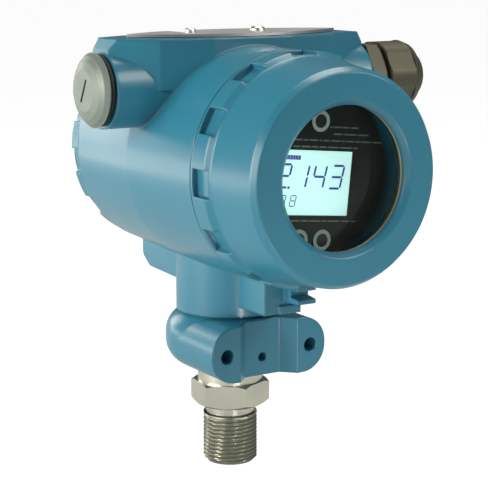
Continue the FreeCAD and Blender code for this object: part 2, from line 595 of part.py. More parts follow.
def build_electronics():
    """The module in the front compartment: case, main board, connector and its screws."""
    case = new_body("electronics_case", AXIS)
    back = "-wall_front"
    base = f"{back}-case_base"
    front = "-case_front"
    turned(case, "Y", [
        (back, "0"), (back, "case_r"), (front, "case_r"), (front, "case_r-case_wall"),
        (base, "case_r-case_wall"), (base, "0"),
    ])
    board_front = "-(case_front+board_thick)"
    board = new_body("main_board", AXIS)
    turned(board, "Y", disc(board_front, front, "case_r"))
    socket = rectangle("-connector_half", "connector_low", "connector_half", "connector_high")
    prism(board, "XZ", [socket], f"{board_front}-connector_len", f"{board_front}+0.2")
    for side in ("", "-"):
        screw_hole = (f"{side}module_screw_x", "module_screw_z", "module_screw_r+running_gap")
        prism(case, "XZ", [screw_hole], f"{base}-1", f"{back}+1", cut=True)
        prism(board, "XZ", [screw_hole], f"{board_front}-1", f"{front}+1", cut=True)
        name = "module_screw_right" if side == "" else "module_screw_left"
        screw = new_body(name, (f"{side}module_screw_x", "0", "axis_height+module_screw_z"))
        tip = f"{back}+module_screw_bite"
        turned(screw, "Y", [
            (f"{board_front}-module_head", "0"), (f"{board_front}-module_head", "module_head_r"),
            (board_front, "module_head_r"), (board_front, "module_screw_r"),
            (tip, "module_screw_r"), (tip, "0"),
        ])
    for side, name in (("", "display_pillar_right"), ("-", "display_pillar_left")):
        pillar = new_body(name, (f"{side}pillar_x", "0", "axis_height+pillar_z"))
        turned(pillar, "Y", disc("-display_back", board_front, "pillar_r"))


def build_display():
    """The display in the window: case, board, panel, film label and its three keys."""
    tilt = Rotation(Vector(0, 1, 0), SIZES["display_turn"])
    back, front = "-display_back", "-display_front"
    board_back = f"{back}-display_wall"
    board_front = f"({board_back}-board_thick)"
    case = new_body("display_case", AXIS, tilt)
    turned(case, "Y", [
        (back, "0"), (back, "display_r"), (front, "display_r"), (front, "display_r-display_wall"),
        (board_back, "display_r-display_wall"), (board_back, "0"),
    ])
    board = new_body("display_board", AXIS, tilt)
    turned(board, "Y", disc(board_front, board_back, "display_board_r"))
    panel = new_body("lcd_panel", AXIS, tilt)
    glass = rectangle("lcd_x-lcd_half_w", "lcd_z-lcd_half_h", "lcd_x+lcd_half_w", "lcd_z+lcd_half_h")
    prism(panel, "XZ", [glass], front, board_front)
    label = new_body("display_label", AXIS, tilt)
    turned(label, "Y", disc(f"{front}-label_thick", front, "display_r"))
    view = rectangle("lcd_x-lcd_view_half_w", "lcd_z-lcd_view_half_h",
                     "lcd_x+lcd_view_half_w", "lcd_z+lcd_view_half_h")
    prism(label, "XZ", [view], f"{front}-label_thick-1", f"{front}+1", cut=True)
    keys = (("display_key_top", "0", "top_key_z"), ("display_key_left", "-low_key_x", "low_key_z"),
            ("display_key_right", "low_key_x", "low_key_z"))
    for name, x_text, z_text in keys:
        hole = (x_text, z_text, "key_r+key_play")
        prism(label, "XZ", [hole], f"{front}-label_thick-1", f"{front}+1", cut=True)
        key = new_body(name, AXIS, tilt)
        prism(key, "XZ", [(x_text, z_text, "key_r")], f"{front}-label_thick-key_raise",
              f"{board_front}-key_travel_room")


def build_terminals():
    """The terminal side: sealed wire feedthrough, terminal block and its screws."""
    face = "0-(wall_front-wall_thick)"
    feed = new_body("wire_feedthrough", ("0", "0", "axis_height+feedthrough_z"))
    turned(feed, "Y", disc("-wall_front", face, "feedthrough_r"))
    block = new_body("terminal_block", AXIS)
    base_front = f"({face}+terminal_base)"
    bar_front = f"({base_front}+terminal_bar)"
    turned(block, "Y", disc(face, base_front, "terminal_r"))
    above = rectangle("-terminal_r-1", "terminal_top", "terminal_r+1", "terminal_r+1")
    prism(block, "XZ", [above], f"{face}-1", f"{base_front}+1", cut=True)
    bar = rectangle("-terminal_bar_half", "terminal_bar_low", "terminal_bar_half", "terminal_bar_high")
    prism(block, "XZ", [bar], f"{base_front}-1", bar_front)
    for k in range(4):
        middle = f"terminal_pitch*{k - 1.5}"
        slot = rectangle(f"{middle}-terminal_slot_half", "terminal_bar_low-1",
                         f"{middle}+terminal_slot_half", "terminal_bar_high-2")
        prism(block, "XZ", [slot], base_front, f"{bar_front}+1", cut=True)
    screw_z = "(terminal_bar_low+terminal_bar_high)/2-1"
    places = [(f"terminal_screw_{k + 1}", f"terminal_pitch*{k - 1.5}", screw_z) for k in range(4)]
    places += [("block_screw_right", "block_screw_x", "block_screw_z"),
               ("block_screw_left", "-block_screw_x", "block_screw_z"),
               ("ground_screw", "ground_x", "ground_z")]
    for name, x_text, z_text in places:
        hole = (x_text, z_text, "terminal_shank_r")
        prism(block, "XZ", [hole], f"{base_front}-terminal_bite", f"{base_front}+1", cut=True)
        screw = new_body(name, (x_text, "0", f"axis_height+({z_text})"))
        turned(screw, "Y", [
            (f"{base_front}-terminal_bite", "0"), (f"{base_front}-terminal_bite", "terminal_shank_r"),
            (base_front, "terminal_shank_r"), (base_front, "terminal_screw_r"),
            (f"{base_front}+terminal_head", "terminal_screw_r"),
            (f"{base_front}+terminal_head", "0"),
        ])
        slot = rectangle("-terminal_screw_r-1", "-0.5", "terminal_screw_r+1", "0.5")
        prism(screw, "XZ", [slot], f"{base_front}+terminal_head-1", f"{base_front}+terminal_head+1",
              cut=True)


def build_top():
    """The nameplate on the block, its two screws and the zero and span buttons under it."""
    under = "block_top+plate_lift"
    over = f"({under}+plate_thick)"
    plate = new_body("nameplate", ("0", "0", "0"))
    prism(plate, "XY", [("lens", "plate_mid", "plate_half_len", "plate_half_width")], under, over)
    hole_r = "plate_screw_r+screw_play"
    prism(plate, "XY", [("pivot_x", "0", hole_r)], f"{under}-1", f"{over}+1", cut=True)
    # the slot widens outwards, because the clamp screw leaves it along an arc about the pivot
    hook = [
        (f"clamp_x-({hole_r})", f"-({hole_r})"), (f"clamp_x+({hole_r})", f"-({hole_r})"),
        (f"clamp_x+({hole_r})+hook_widen", "plate_half_width+1"), (f"clamp_x-({hole_r})", "plate_half_width+1"),
    ]
    prism(plate, "XY", [hook], f"{under}-1", f"{over}+1", cut=True)
    for name, x_text, head_r in (("nameplate_pivot_screw", "pivot_x", "pivot_head_r"),
                                 ("nameplate_clamp_screw", "clamp_x", "clamp_head_r")):
        screw = new_body(name, (x_text, "0", "0"))
        turned(screw, "Z", [
            ("block_top-plate_screw_len", "0"), ("block_top-plate_screw_len", "plate_screw_r"),
            (f"{over}+head_lift", "plate_screw_r"), (f"{over}+head_lift", head_r),
            (f"{over}+head_height*0.55", head_r), (f"{over}+head_height", f"{head_r}*0.72"),
            (f"{over}+head_height", "0"),
        ])
    for name, side in (("span_button", "-"), ("zero_button", "+")):
        button = new_body(name, (f"button_mid{side}button_x", "0", "0"))
        top = "(block_top-button_sink)"
        turned(button, "Z", disc(f"{top}-button_len", top, "button_r"))


def build_covers():
    """The two screwed covers with their O-rings; the front one carries the window."""
    spigot_r = "(cover_thread_r-running_gap)"
    spigot = [("0", "lug_r"), ("0", spigot_r), ("-cover_thread_len+1", spigot_r),
              ("-cover_thread_len+1", "spigot_in_r")]
    window_lip = "(cover_depth-lip_thick)"
    glass_back = "(cover_depth-lip_thick-gasket_thick-glass_thick)"
    wire_back = f"({glass_back}-2*retainer_wire_r-0.1)"
    front = new_body("front_cover", ("0", "0-front_seam", "axis_height"), GRIP_TURN * FRONT_TURN)
    turned(front, "Y", spigot + [
        (f"{wire_back}-2", "spigot_in_r"), (f"{wire_back}-2", "glass_r+running_gap"),
        (wire_back, "glass_r+running_gap"), (wire_back, "retainer_groove_r"),
        (glass_back, "retainer_groove_r"), (glass_back, "glass_r+running_gap"),
        (window_lip, "glass_r+running_gap"), (window_lip, "window_r"),
        ("cover_depth-window_bevel", "window_r"), ("cover_depth", "window_r+window_bevel"),
        ("cover_depth", "cover_face_r"), ("cover_depth-nose_round", "cover_nose_r"),
        ("lug_zone+2", "cover_root_r"), ("lug_zone", "lug_r"),
    ])
    rear = new_body("rear_cover", ("0", "rear_seam", "axis_height"), REAR_GRIP_TURN)
    inside = "(rear_cover_depth-rear_cover_wall)"
    turned(rear, "Y", [("0", "rear_lug_r")] + spigot[1:] + [
        (inside, "spigot_in_r"), (inside, "0"), ("rear_cover_depth-rear_dish", "0"),
        ("rear_cover_depth-rear_dish", "rear_dish_r-rear_dish"), ("rear_cover_depth", "rear_dish_r"),
        ("rear_cover_depth", "rear_face_r"), ("rear_cover_depth-nose_round", "rear_nose_r"),
        ("rear_lug_zone+1.6", "rear_root_r"), ("rear_lug_zone", "rear_lug_r"),
    ])
    for body, floor_r, zone in ((front, "grip_floor_r", "lug_zone"),
                                (rear, "rear_grip_floor_r", "rear_lug_zone")):
        grip = rectangle("-grip_half", floor_r, "grip_half", "lug_r+1")
        cut = prism(body, "XZ", [grip], "grip_rim", f"{zone}+1.2", cut=True)
        repeat_round(body, cut, "Y_Axis", "grip_count")
        groove = disc("-seal_groove_len", "-0.4", "cover_thread_r+1", "seal_groove_r")
        turned(body, "Y", groove, cut=True)
    seal_at = "(seal_groove_len/2+0.2)"
    for name, place in (("front_cover_oring", f"-(front_seam)+{seal_at}"),
                        ("rear_cover_oring", f"rear_seam-{seal_at}")):
        ring_seal(name, "Y", ("0", place, "axis_height"), "seal_groove_r+seal_r", "seal_r*0.92")
    glass = new_body("window_glass", ("0", "0-front_seam", "axis_height"), FRONT_TURN)
    turned(glass, "Y", disc(glass_back, f"{glass_back}+glass_thick", "glass_r"))
    gasket = new_body("window_gasket", ("0", "0-front_seam", "axis_height"), FRONT_TURN)
    turned(gasket, "Y", disc(f"{glass_back}+glass_thick", window_lip, "glass_r", "gasket_in_r"))
    ring = new_body("window_retainer", ("0", "0-front_seam", "axis_height"), FRONT_TURN)
    wire = rectangle(f"{wire_back}+0.1", "retainer_groove_r-2*retainer_wire_r", f"{glass_back}-0.05",
                     "retainer_groove_r-0.05")
    sketch = new_sketch(ring, "YZ", [wire])
    feature = ring.newObject("PartDesign::Revolution", "Turn")
    feature.Profile = sketch
    feature.ReferenceAxis = (sketch, ["H_Axis"])
    feature.Midplane = True
    feature.Angle = 360 - SIZES["retainer_opening"]
    check_step(ring, feature, 0.0, False)


def build_plug():
    """The blanking plug in the left conduit and its O-ring."""
    plug = new_body("conduit_plug", CONDUIT)
    seat = "0-plug_seat"
    shank_end = f"{seat}+1.2+plug_thread_len"
    turned(plug, "X", [
        ("0-plug_tip", "0"), ("0-plug_tip", "plug_head_r*0.55"), ("0-plug_tip+0.9", "plug_head_r*0.76"),
        ("0-plug_tip+2.2", "plug_head_r*0.9"), ("0-plug_tip+3.6", "plug_head_r*0.98"),
        (f"{seat}-0.6", "plug_head_r"), (seat, "plug_head_r-0.3"),
        (seat, "conduit_r-running_gap"), (shank_end, "conduit_r-running_gap"), (shank_end, "0"),
    ])
    angle = math.radians(SIZES["plug_slot_turn"])
    across, along = (math.cos(angle), math.sin(angle)), (-math.sin(angle), math.cos(angle))
    corners = []
    for u, v in ((-1, -1), (1, -1), (1, 1), (-1, 1)):
        corners.append(tuple(
            f"plug_slot_half*{u * across[i]:.9f}+plug_slot_len/2*{v * along[i]:.9f}" for i in (0, 1)
        ))
    prism(plug, "YZ", [corners], "0-plug_tip-1", "0-plug_tip+plug_slot_depth", cut=True)
    ring_seal("plug_oring", "X", ("0-(plug_seat+boss_left)/2", "0", "conduit_height"),
              "plug_head_r-1.6", "(plug_seat-boss_left)/2*0.96")


def build_gland():
    """The cable gland in the right conduit: body, O-ring, cable seal and dome nut."""
    gland = new_body("gland_body", CONDUIT)
    corner_r = f"gland_flats/{math.sqrt(3):.9f}"
    thread_end = "boss_right-conduit_depth+2"
    turned(gland, "X", [
        (thread_end, "gland_bore_r"), (thread_end, "conduit_r-running_gap"),
        ("gland_hex_from", "conduit_r-running_gap"), ("gland_hex_from", f"{corner_r}-0.4"),
        ("gland_hex_from+0.6", corner_r), ("gland_hex_to-0.9", corner_r), ("gland_hex_to", f"{corner_r}-1.2"),
        ("gland_hex_to", "gland_throat_r"), ("gland_throat_to", "gland_throat_r"),
        ("gland_throat_to", "gland_bore_r+seal_shoulder"), ("gland_hex_to", "gland_bore_r+seal_shoulder"),
        ("gland_hex_to", "gland_bore_r"),
    ])
    around = ("0", "0", f"{corner_r}+3")
    prism(gland, "YZ", [around, hexagon("gland_flats")], "gland_hex_from", "gland_hex_to", cut=True)
    ring_seal("gland_oring", "X", ("(gland_hex_from+boss_right)/2", "0", "conduit_height"),
              "conduit_r+1.1", "(gland_hex_from-boss_right)/2*0.96")
    seal = new_body("gland_seal", CONDUIT)
    seal_r = "(gland_bore_r+seal_shoulder-running_gap)"
    washer_from = "(nut_seat-washer_thick)"
    turned(seal, "X", [
        ("gland_hex_to", "cable_seal_r"), ("gland_hex_to", seal_r), ("gland_throat_to", seal_r),
        (washer_from, "nut_mouth_r"), (washer_from, "cable_seal_r"),
    ])
    washer = new_body("gland_washer", CONDUIT)
    turned(washer, "X", disc(washer_from, "nut_seat", "gland_throat_r-washer_play", "nut_mouth_r-1"))
    nut = new_body("gland_nut", CONDUIT)
    inside_r = "(gland_throat_r+running_gap)"
    turned(nut, "X", [
        ("nut_from", inside_r), ("nut_from", "nut_r-0.5"), ("nut_from+0.5", "nut_r"),
        ("nut_shoulder", "nut_r"), ("nut_shoulder+2.6", "nut_r*0.93"), ("nut_to-2.6", "nut_r*0.78"),
        ("nut_to", "nut_lip_r"), ("nut_to", "nut_mouth_r"), ("nut_seat", "nut_mouth_r"),
        ("nut_seat", inside_r),
    ])
    around = ("0", "0", "nut_r+3")
    prism(nut, "YZ", [around, hexagon("nut_flats")], "nut_from", "nut_shoulder", cut=True)


build_housing()
build_connection()
build_sensor_cable()
build_electronics()
build_display()
build_terminals()
build_top()
build_covers()
build_plug()
build_gland()

for made in doc.Objects:
    if "Invalid" in made.State or "Error" in made.State:
        raise RuntimeError(f"{made.Label} failed: {made.State}")
os.makedirs("parts", exist_ok=True)
for part in parts:
    if part.Shape.isNull() or not part.Shape.isValid():
        raise RuntimeError(f"{part.Label} has no valid shape")
    part.Shape.exportStep(f"parts/{part.Label}.step")
    box = part.Shape.BoundBox
    print(f"{part.Label}: {len(part.Shape.Solids)} solid, {part.Shape.Volume:.0f} mm3, {box}")
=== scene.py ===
"""A field pressure transmitter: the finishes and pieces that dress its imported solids."""

import logging
import math
from dataclasses import dataclass
from enum import Enum
from functools import cache
from typing import Any, ClassVar, Sequence

import bmesh
import bpy
from mathutils import Matrix, Vector


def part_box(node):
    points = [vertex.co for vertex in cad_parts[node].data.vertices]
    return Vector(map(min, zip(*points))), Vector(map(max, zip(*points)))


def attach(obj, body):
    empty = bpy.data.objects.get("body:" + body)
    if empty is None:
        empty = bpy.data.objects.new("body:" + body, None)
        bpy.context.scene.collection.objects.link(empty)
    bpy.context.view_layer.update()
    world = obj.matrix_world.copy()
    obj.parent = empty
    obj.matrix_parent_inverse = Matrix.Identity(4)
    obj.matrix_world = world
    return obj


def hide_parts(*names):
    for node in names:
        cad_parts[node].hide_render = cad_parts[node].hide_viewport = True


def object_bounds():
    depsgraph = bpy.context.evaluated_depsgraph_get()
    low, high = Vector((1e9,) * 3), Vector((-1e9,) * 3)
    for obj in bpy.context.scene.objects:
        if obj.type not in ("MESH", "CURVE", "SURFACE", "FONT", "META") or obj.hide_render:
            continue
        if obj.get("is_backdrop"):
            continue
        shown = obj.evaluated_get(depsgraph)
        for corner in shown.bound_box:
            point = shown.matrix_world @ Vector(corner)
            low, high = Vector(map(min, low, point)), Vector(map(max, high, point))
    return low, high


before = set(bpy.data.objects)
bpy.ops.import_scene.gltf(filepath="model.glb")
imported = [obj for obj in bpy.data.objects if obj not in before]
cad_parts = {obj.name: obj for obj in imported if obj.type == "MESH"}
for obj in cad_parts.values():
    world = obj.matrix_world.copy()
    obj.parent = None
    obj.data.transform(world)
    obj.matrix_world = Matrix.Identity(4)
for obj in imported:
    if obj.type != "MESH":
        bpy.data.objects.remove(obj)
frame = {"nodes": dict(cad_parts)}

log = logging.getLogger("transmitter")
MM = 0.001
# metres: corners nearer than this are one corner, in a built mesh and in a copied solid
SAME_CORNER = 1e-6
SAME_SOLID_CORNER = 2e-6
# metres: a turned form's radius below this is a point on the axis
ON_AXIS = 1e-7
# degrees: an edge that turns less is shaded round
ROUND_BELOW = 35.0


# ---------------------------------------------------------------- small helpers


def linear(colour: str) -> tuple[float, float, float, float]:
    """Turns an sRGB hex colour into the linear values that Blender's sockets hold.

    The numbers are those of the sRGB standard's own curve.

    Args:
        colour: six hex digits after a #.

    Returns:
        Red, green, blue and an alpha of 1.
    """
    shares = [int(colour[i:i + 2], 16) / 255 for i in (1, 3, 5)]
    r, g, b = (s / 12.92 if s <= 0.04045 else ((s + 0.055) / 1.055) ** 2.4 for s in shares)
    return r, g, b, 1.0


def add_node(tree: bpy.types.NodeTree, kind: str, inputs: dict | None = None,
             **settings: Any) -> Any:
    """Adds a node with its settings, its plain input values and its links.

    Args:
        tree: the node tree that gets the node.
        kind: the node's type, such as ShaderNodeBump.
        inputs: input name or number to a value, or to the output socket that feeds it.
        settings: properties of the node itself.

    Returns:
        The new node.
    """
    made = tree.nodes.new(kind)
    for name, value in settings.items():
        setattr(made, name, value)
    for key, value in (inputs or {}).items():
        if isinstance(value, bpy.types.NodeSocket):
            tree.links.new(value, made.inputs[key])
        else:
            made.inputs[key].default_value = value
    return made


def empty_material(name: str) -> tuple[bpy.types.Material, bpy.types.NodeTree]:
    """Starts a node material with nothing in it.

    Args:
        name: the material's name.

    Returns:
        The material and its bare node tree.
    """
    made = bpy.data.materials.new(name)
    made.use_nodes = True
    made.node_tree.nodes.clear()
    return made, made.node_tree


def new_object(name: str, data: Any) -> bpy.types.Object:
    """Puts a mesh, lamp or camera into the scene.

    Args:
        name: the object's name.
        data: what it shows.

    Returns:
        The object, at the origin.
    """
    made = bpy.data.objects.new(name, data)
    bpy.context.scene.collection.objects.link(made)
    return made


def object_from(name: str, bm: bmesh.types.BMesh,
                smooth: float | None = ROUND_BELOW) -> bpy.types.Object:
    """Makes an object from mesh data, with its normals outwards.

    Args:
        name: the piece's name.
        bm: the mesh data, freed here.
        smooth: edges that turn less than this many degrees are shaded round; None is flat.

    Returns:
        The object, at the origin.
    """
    bmesh.ops.remove_doubles(bm, verts=bm.verts, dist=SAME_CORNER)
    bmesh.ops.recalc_face_normals(bm, faces=bm.faces)
    if smooth is not None:
        limit = math.radians(smooth)
        for face in bm.faces:
            face.smooth = True
        for edge in bm.edges:
            edge.smooth = len(edge.link_faces) == 2 and edge.calc_face_angle(0) < limit
    mesh = bpy.data.meshes.new(name)
    bm.to_mesh(mesh)
    bm.free()
    return new_object(name, mesh)


def revolve(bm: bmesh.types.BMesh, outline: Sequence[tuple[float, float]], place: Matrix,
            steps: int) -> None:
    """Adds a turned form about the Z axis of a place.

    Args:
        bm: the mesh data that gets it.
        outline: its section as (radius, height) pairs.
        place: where the axis stands.
        steps: how many faces go round.
    """
    rings = []
    for radius, height in outline:
        if radius < ON_AXIS:
            rings.append([bm.verts.new(place @ Vector((0, 0, height)))])
            continue
        turn = [2 * math.pi * k / steps for k in range(steps)]
        rings.append([
            bm.verts.new(place @ Vector((radius * math.cos(a), radius * math.sin(a), height)))
            for a in turn
        ])
    for low, high in zip(rings, rings[1:]):
        for k in range(steps):
            corners = [low[k % len(low)], low[(k + 1) % len(low)],
                       high[(k + 1) % len(high)], high[k % len(high)]]
            corners = list(dict.fromkeys(corners))
            if len(corners) > 2:
                bm.faces.new(corners)


def slab(bm: bmesh.types.BMesh, corners: Sequence[tuple[float, float]], thick: float,
         place: Matrix) -> None:
    """Adds a flat plate of a polygon's outline, standing on the floor of a place.

    Args:
        bm: the mesh data that gets it.
        corners: its outline as (x, y) pairs.
        thick: how far it stands up.
        place: where its floor lies.
    """
    floor = [bm.verts.new(place @ Vector((x, y, 0.0))) for x, y in corners]
    roof = [bm.verts.new(place @ Vector((x, y, thick))) for x, y in corners]
    bm.faces.new(floor[::-1])
    bm.faces.new(roof)
    for k in range(len(corners)):
        n = (k + 1) % len(corners)
        bm.faces.new([floor[k], floor[n], roof[n], roof[k]])


def merged_copy(node: str) -> bmesh.types.BMesh:
    """Copies a solid's mesh and joins its loose triangles.

    Args:
        node: the solid.

    Returns:
        The joined mesh data; the solid itself is left alone.
    """
    bm = bmesh.new()
    bm.from_mesh(frame["nodes"][node].data)
    bmesh.ops.remove_doubles(bm, verts=bm.verts, dist=SAME_SOLID_CORNER)
    return bm


def front_of(node: str, tilt: float = 0.0) -> Matrix:
    """Finds a frame on a solid's front face: x right, y up, z out of the face.

    Args:
        node: the solid.
        tilt: degrees that the frame is turned clockwise on the face.

    Returns:
        The frame, with its origin at the middle of the face.
    """
    low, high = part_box(node)
    middle = Vector(((low.x + high.x) / 2, low.y, (low.z + high.z) / 2))
    upright = Matrix.Rotation(math.pi / 2, 4, "X")
    return Matrix.Translation(middle) @ upright @ Matrix.Rotation(math.radians(-tilt), 4, "Z")


def dress(material: bpy.types.Material, *pieces: bpy.types.Object) -> None:
    """Gives pieces one finish all over.

    Args:
        material: the finish.
        pieces: the objects that wear it.
    """
    for piece in pieces:
        piece.data.materials.clear()
        piece.data.materials.append(material)


def grown(name: str, tree: bpy.types.NodeTree, values: dict[str, Any],
          start: bpy.types.Mesh | None = None) -> bpy.types.Object:
    """Runs a Geometry Nodes tree and keeps its result as a plain mesh.

    Args:
        name: the new object's name.
        tree: the node tree; its inputs keep their defaults where no value is given.
        values: input name to value.
        start: the mesh that the tree starts from, if it needs one.

    Returns:
        An object at the origin with no modifier.
    """
    host = new_object(name + "_host", start or bpy.data.meshes.new(name + "_host"))
    modifier = host.modifiers.new("grow", "NODES")
    modifier.node_group = tree
    for item in tree.interface.items_tree:
        if item.in_out == "INPUT" and item.name in values:
            modifier[item.identifier] = values[item.name]
    bpy.context.view_layer.update()
    graph = bpy.context.evaluated_depsgraph_get()
    mesh = bpy.data.meshes.new_from_object(host.evaluated_get(graph))
    bpy.data.objects.remove(host)
    mesh.name = name
    return new_object(name, mesh)


# ---------------------------------------------------------------- finishes


class Grain(Enum):
    """How a surface's fine relief is laid out."""

    ORANGE_PEEL = "even cells, as powder paint sets"
    CAST = "uneven grit, as a sand or die casting leaves"
    RINGS = "rings about an axis, as a lathe leaves"
    STREAKS = "long streaks, as a belt leaves"


@dataclass(frozen=True)
class Finish:
    """A surface: its colour, its gloss and its fine relief.

    The grain's spacing is its real one in millimetres, or as coarse as it needs to show.
    """

    name: str
    colour: str
    shade: str
    roughness: float
    metallic: float = 0.0
    ior: float = 1.5
    coat: float = 0.0
    grain: Grain = Grain.CAST
    spacing_mm: float = 0.6
    relief_mm: float = 0.01
    mottle_mm: float = 14.0
    sheen_change: float = 0.08
    edge_mm: float = 0.0
    axis: tuple[float, float, float] = (0.0, 0.0, 1.0)
    centre: tuple[float, float, float] = (0.0, 0.0, 0.0)

    COAT_ROUGHNESS: ClassVar[float] = 0.12
    GLOSSIEST: ClassVar[float] = 0.02
    # from this share of metal on, the index of refraction stays at its default
    METAL_FROM: ClassVar[float] = 0.5
    # octaves of noise in grit, in fine lines and in the patches of colour
    GRIT_DETAIL: ClassVar[float] = 3.0
    LINE_DETAIL: ClassVar[float] = 2.0
    PATCH_DETAIL: ClassVar[float] = 4.0
    # a belt's streaks are fifty times longer than they are wide
    STREAK_SQUEEZE: ClassVar[tuple[float, float, float]] = (0.02, 1.0, 1.0)
    EDGE_SAMPLES: ClassVar[int] = 8

    def _lathe_lines(self, tree: bpy.types.NodeTree, place: Any, per_metre: float) -> Any:
        """Draws fine rings from the distance to the lathe's axis and the place along it.

        Args:
            tree: the material's node tree.
            place: the socket that holds the point on the piece.
            per_metre: rings in a metre.

        Returns:
            The socket of the height, about 0 to 1.
        """
        moved = add_node(tree, "ShaderNodeVectorMath", {0: place, 1: self.centre},
                         operation="SUBTRACT")
        along = add_node(tree, "ShaderNodeVectorMath", {0: moved.outputs[0], 1: self.axis},
                         operation="DOT_PRODUCT")
        lift = add_node(tree, "ShaderNodeVectorMath",
                        {0: self.axis, "Scale": along.outputs["Value"]}, operation="SCALE")
        across = add_node(tree, "ShaderNodeVectorMath",
                          {0: moved.outputs[0], 1: lift.outputs[0]}, operation="SUBTRACT")
        radius = add_node(tree, "ShaderNodeVectorMath", {0: across.outputs[0]},
                          operation="LENGTH")
        both = add_node(tree, "ShaderNodeMath",
                        {0: radius.outputs["Value"], 1: along.outputs["Value"]},
                        operation="ADD")
        lines = add_node(tree, "ShaderNodeTexNoise", {
            "W": both.outputs[0], "Scale": per_metre, "Detail": self.LINE_DETAIL,
        }, noise_dimensions="1D")
        return lines.outputs["Fac"]

    def _relief(self, tree: bpy.types.NodeTree, place: Any) -> Any:
        """Draws the height pattern of the grain.

        Args:
            tree: the material's node tree.
            place: the socket that holds the point on the piece.

        Returns:
            The socket of the height, about 0 to 1.
        """
        per_metre = 1 / (self.spacing_mm * MM)
        if self.grain is Grain.RINGS:
            return self._lathe_lines(tree, place, per_metre)
        if self.grain is Grain.ORANGE_PEEL:
            cells = add_node(tree, "ShaderNodeTexVoronoi", {"Vector": place, "Scale": per_metre},
                             feature="SMOOTH_F1")
            return cells.outputs["Distance"]
        if self.grain is Grain.STREAKS:
            squeezed = add_node(tree, "ShaderNodeMapping",
                                {"Vector": place, "Scale": self.STREAK_SQUEEZE})
            lines = add_node(tree, "ShaderNodeTexNoise", {
                "Vector": squeezed.outputs[0], "Scale": per_metre, "Detail": self.LINE_DETAIL,
            })
            return lines.outputs["Fac"]
        grit = add_node(tree, "ShaderNodeTexNoise",
                        {"Vector": place, "Scale": per_metre, "Detail": self.GRIT_DETAIL})
        return grit.outputs["Fac"]

    @cache
    def material(self) -> bpy.types.Material:
        """Builds the material once, however many pieces wear it.

        Returns:
            A node material that reads Object coordinates.
        """
        made, tree = empty_material(self.name)
        place = add_node(tree, "ShaderNodeTexCoord").outputs["Object"]
        patches = add_node(tree, "ShaderNodeTexNoise", {
            "Vector": place, "Scale": 1 / (self.mottle_mm * MM), "Detail": self.PATCH_DETAIL,
        })
        # a colour mix keeps its own A and B at numbers 6 and 7, and its result at 2
        colour = add_node(tree, "ShaderNodeMix", {
            0: patches.outputs["Fac"], 6: linear(self.colour), 7: linear(self.shade),
        }, data_type="RGBA")
        gloss = add_node(tree, "ShaderNodeMapRange", {
            "Value": patches.outputs["Fac"],
            "To Min": max(self.roughness - self.sheen_change, self.GLOSSIEST),
            "To Max": self.roughness + self.sheen_change,
        })
        bump = add_node(tree, "ShaderNodeBump", {
            "Height": self._relief(tree, place), "Distance": self.relief_mm * MM, "Strength": 1.0,
        })
        if self.edge_mm:
            softened = add_node(tree, "ShaderNodeBevel", {"Radius": self.edge_mm * MM},
                                samples=self.EDGE_SAMPLES)
            tree.links.new(softened.outputs[0], bump.inputs["Normal"])
        surface = add_node(tree, "ShaderNodeBsdfPrincipled", {
            "Base Color": colour.outputs[2], "Roughness": gloss.outputs[0],
            "Metallic": self.metallic, "Normal": bump.outputs[0],
            "Coat Weight": self.coat, "Coat Roughness": self.COAT_ROUGHNESS,
        })
        if self.metallic < self.METAL_FROM:
            surface.inputs["IOR"].default_value = self.ior
        add_node(tree, "ShaderNodeOutputMaterial", {"Surface": surface.outputs[0]})
        return made


@dataclass(frozen=True)
class PaintedGlow:
    """A surface with a painted glow, lit though it is no lamp, such as a display's pale field."""

    name: str
    colour: str
    strength: float
    roughness: float = 0.3

    # the painted glow's faint clouds, and its dimmest spot as a share of its brightest
    CLOUDS_PER_METRE: ClassVar[float] = 60.0
    DIMMEST: ClassVar[float] = 0.96

    def material(self) -> bpy.types.Material:
        """Builds a coloured surface with some light of its own.

        Returns:
            A node material that reads Object coordinates.
        """
        made, tree = empty_material(self.name)
        place = add_node(tree, "ShaderNodeTexCoord").outputs["Object"]
        cloud = add_node(tree, "ShaderNodeTexNoise",
                         {"Vector": place, "Scale": self.CLOUDS_PER_METRE})
        level = add_node(tree, "ShaderNodeMapRange", {
            "Value": cloud.outputs["Fac"], "To Min": self.strength * self.DIMMEST,
            "To Max": self.strength,
        })
        surface = add_node(tree, "ShaderNodeBsdfPrincipled", {
            "Base Color": linear(self.colour), "Roughness": self.roughness,
            "Emission Color": linear(self.colour), "Emission Strength": level.outputs[0],
        })
        add_node(tree, "ShaderNodeOutputMaterial", {"Surface": surface.outputs[0]})
        return made


@dataclass(frozen=True)
class ClearGlass:
    """Toughened float glass: it shows what is behind it and a thin gloss."""

    name: str = "clear_glass"
    tint: str = "#F4FBFA"
    ior: float = 1.5
    roughness: float = 0.02
    # share of bare glass's mirror that a coated window keeps
    mirror_kept: float = 0.3

    def material(self) -> bpy.types.Material:
        """Builds a see-through surface whose mirror grows towards a grazing look.

        Returns:
            The node material.
        """
        made, tree = empty_material(self.name)
        share = add_node(tree, "ShaderNodeFresnel", {"IOR": self.ior})
        dimmed = add_node(tree, "ShaderNodeMath", {0: share.outputs[0], 1: self.mirror_kept},
                          operation="MULTIPLY")
        clear = add_node(tree, "ShaderNodeBsdfTransparent", {"Color": linear(self.tint)})
        mirror = add_node(tree, "ShaderNodeBsdfGlossy", {"Roughness": self.roughness})
        both = add_node(tree, "ShaderNodeMixShader",
                        {0: dimmed.outputs[0], 1: clear.outputs[0], 2: mirror.outputs[0]})
        add_node(tree, "ShaderNodeOutputMaterial", {"Surface": both.outputs[0]})
        return made


# The real grain of plated, printed and moulded faces is finer than 0.1 mm. It wouldn't show, so
# it is drawn at 0.3 to 0.5 mm, as are the thread's tool marks and the sheet's streaks.

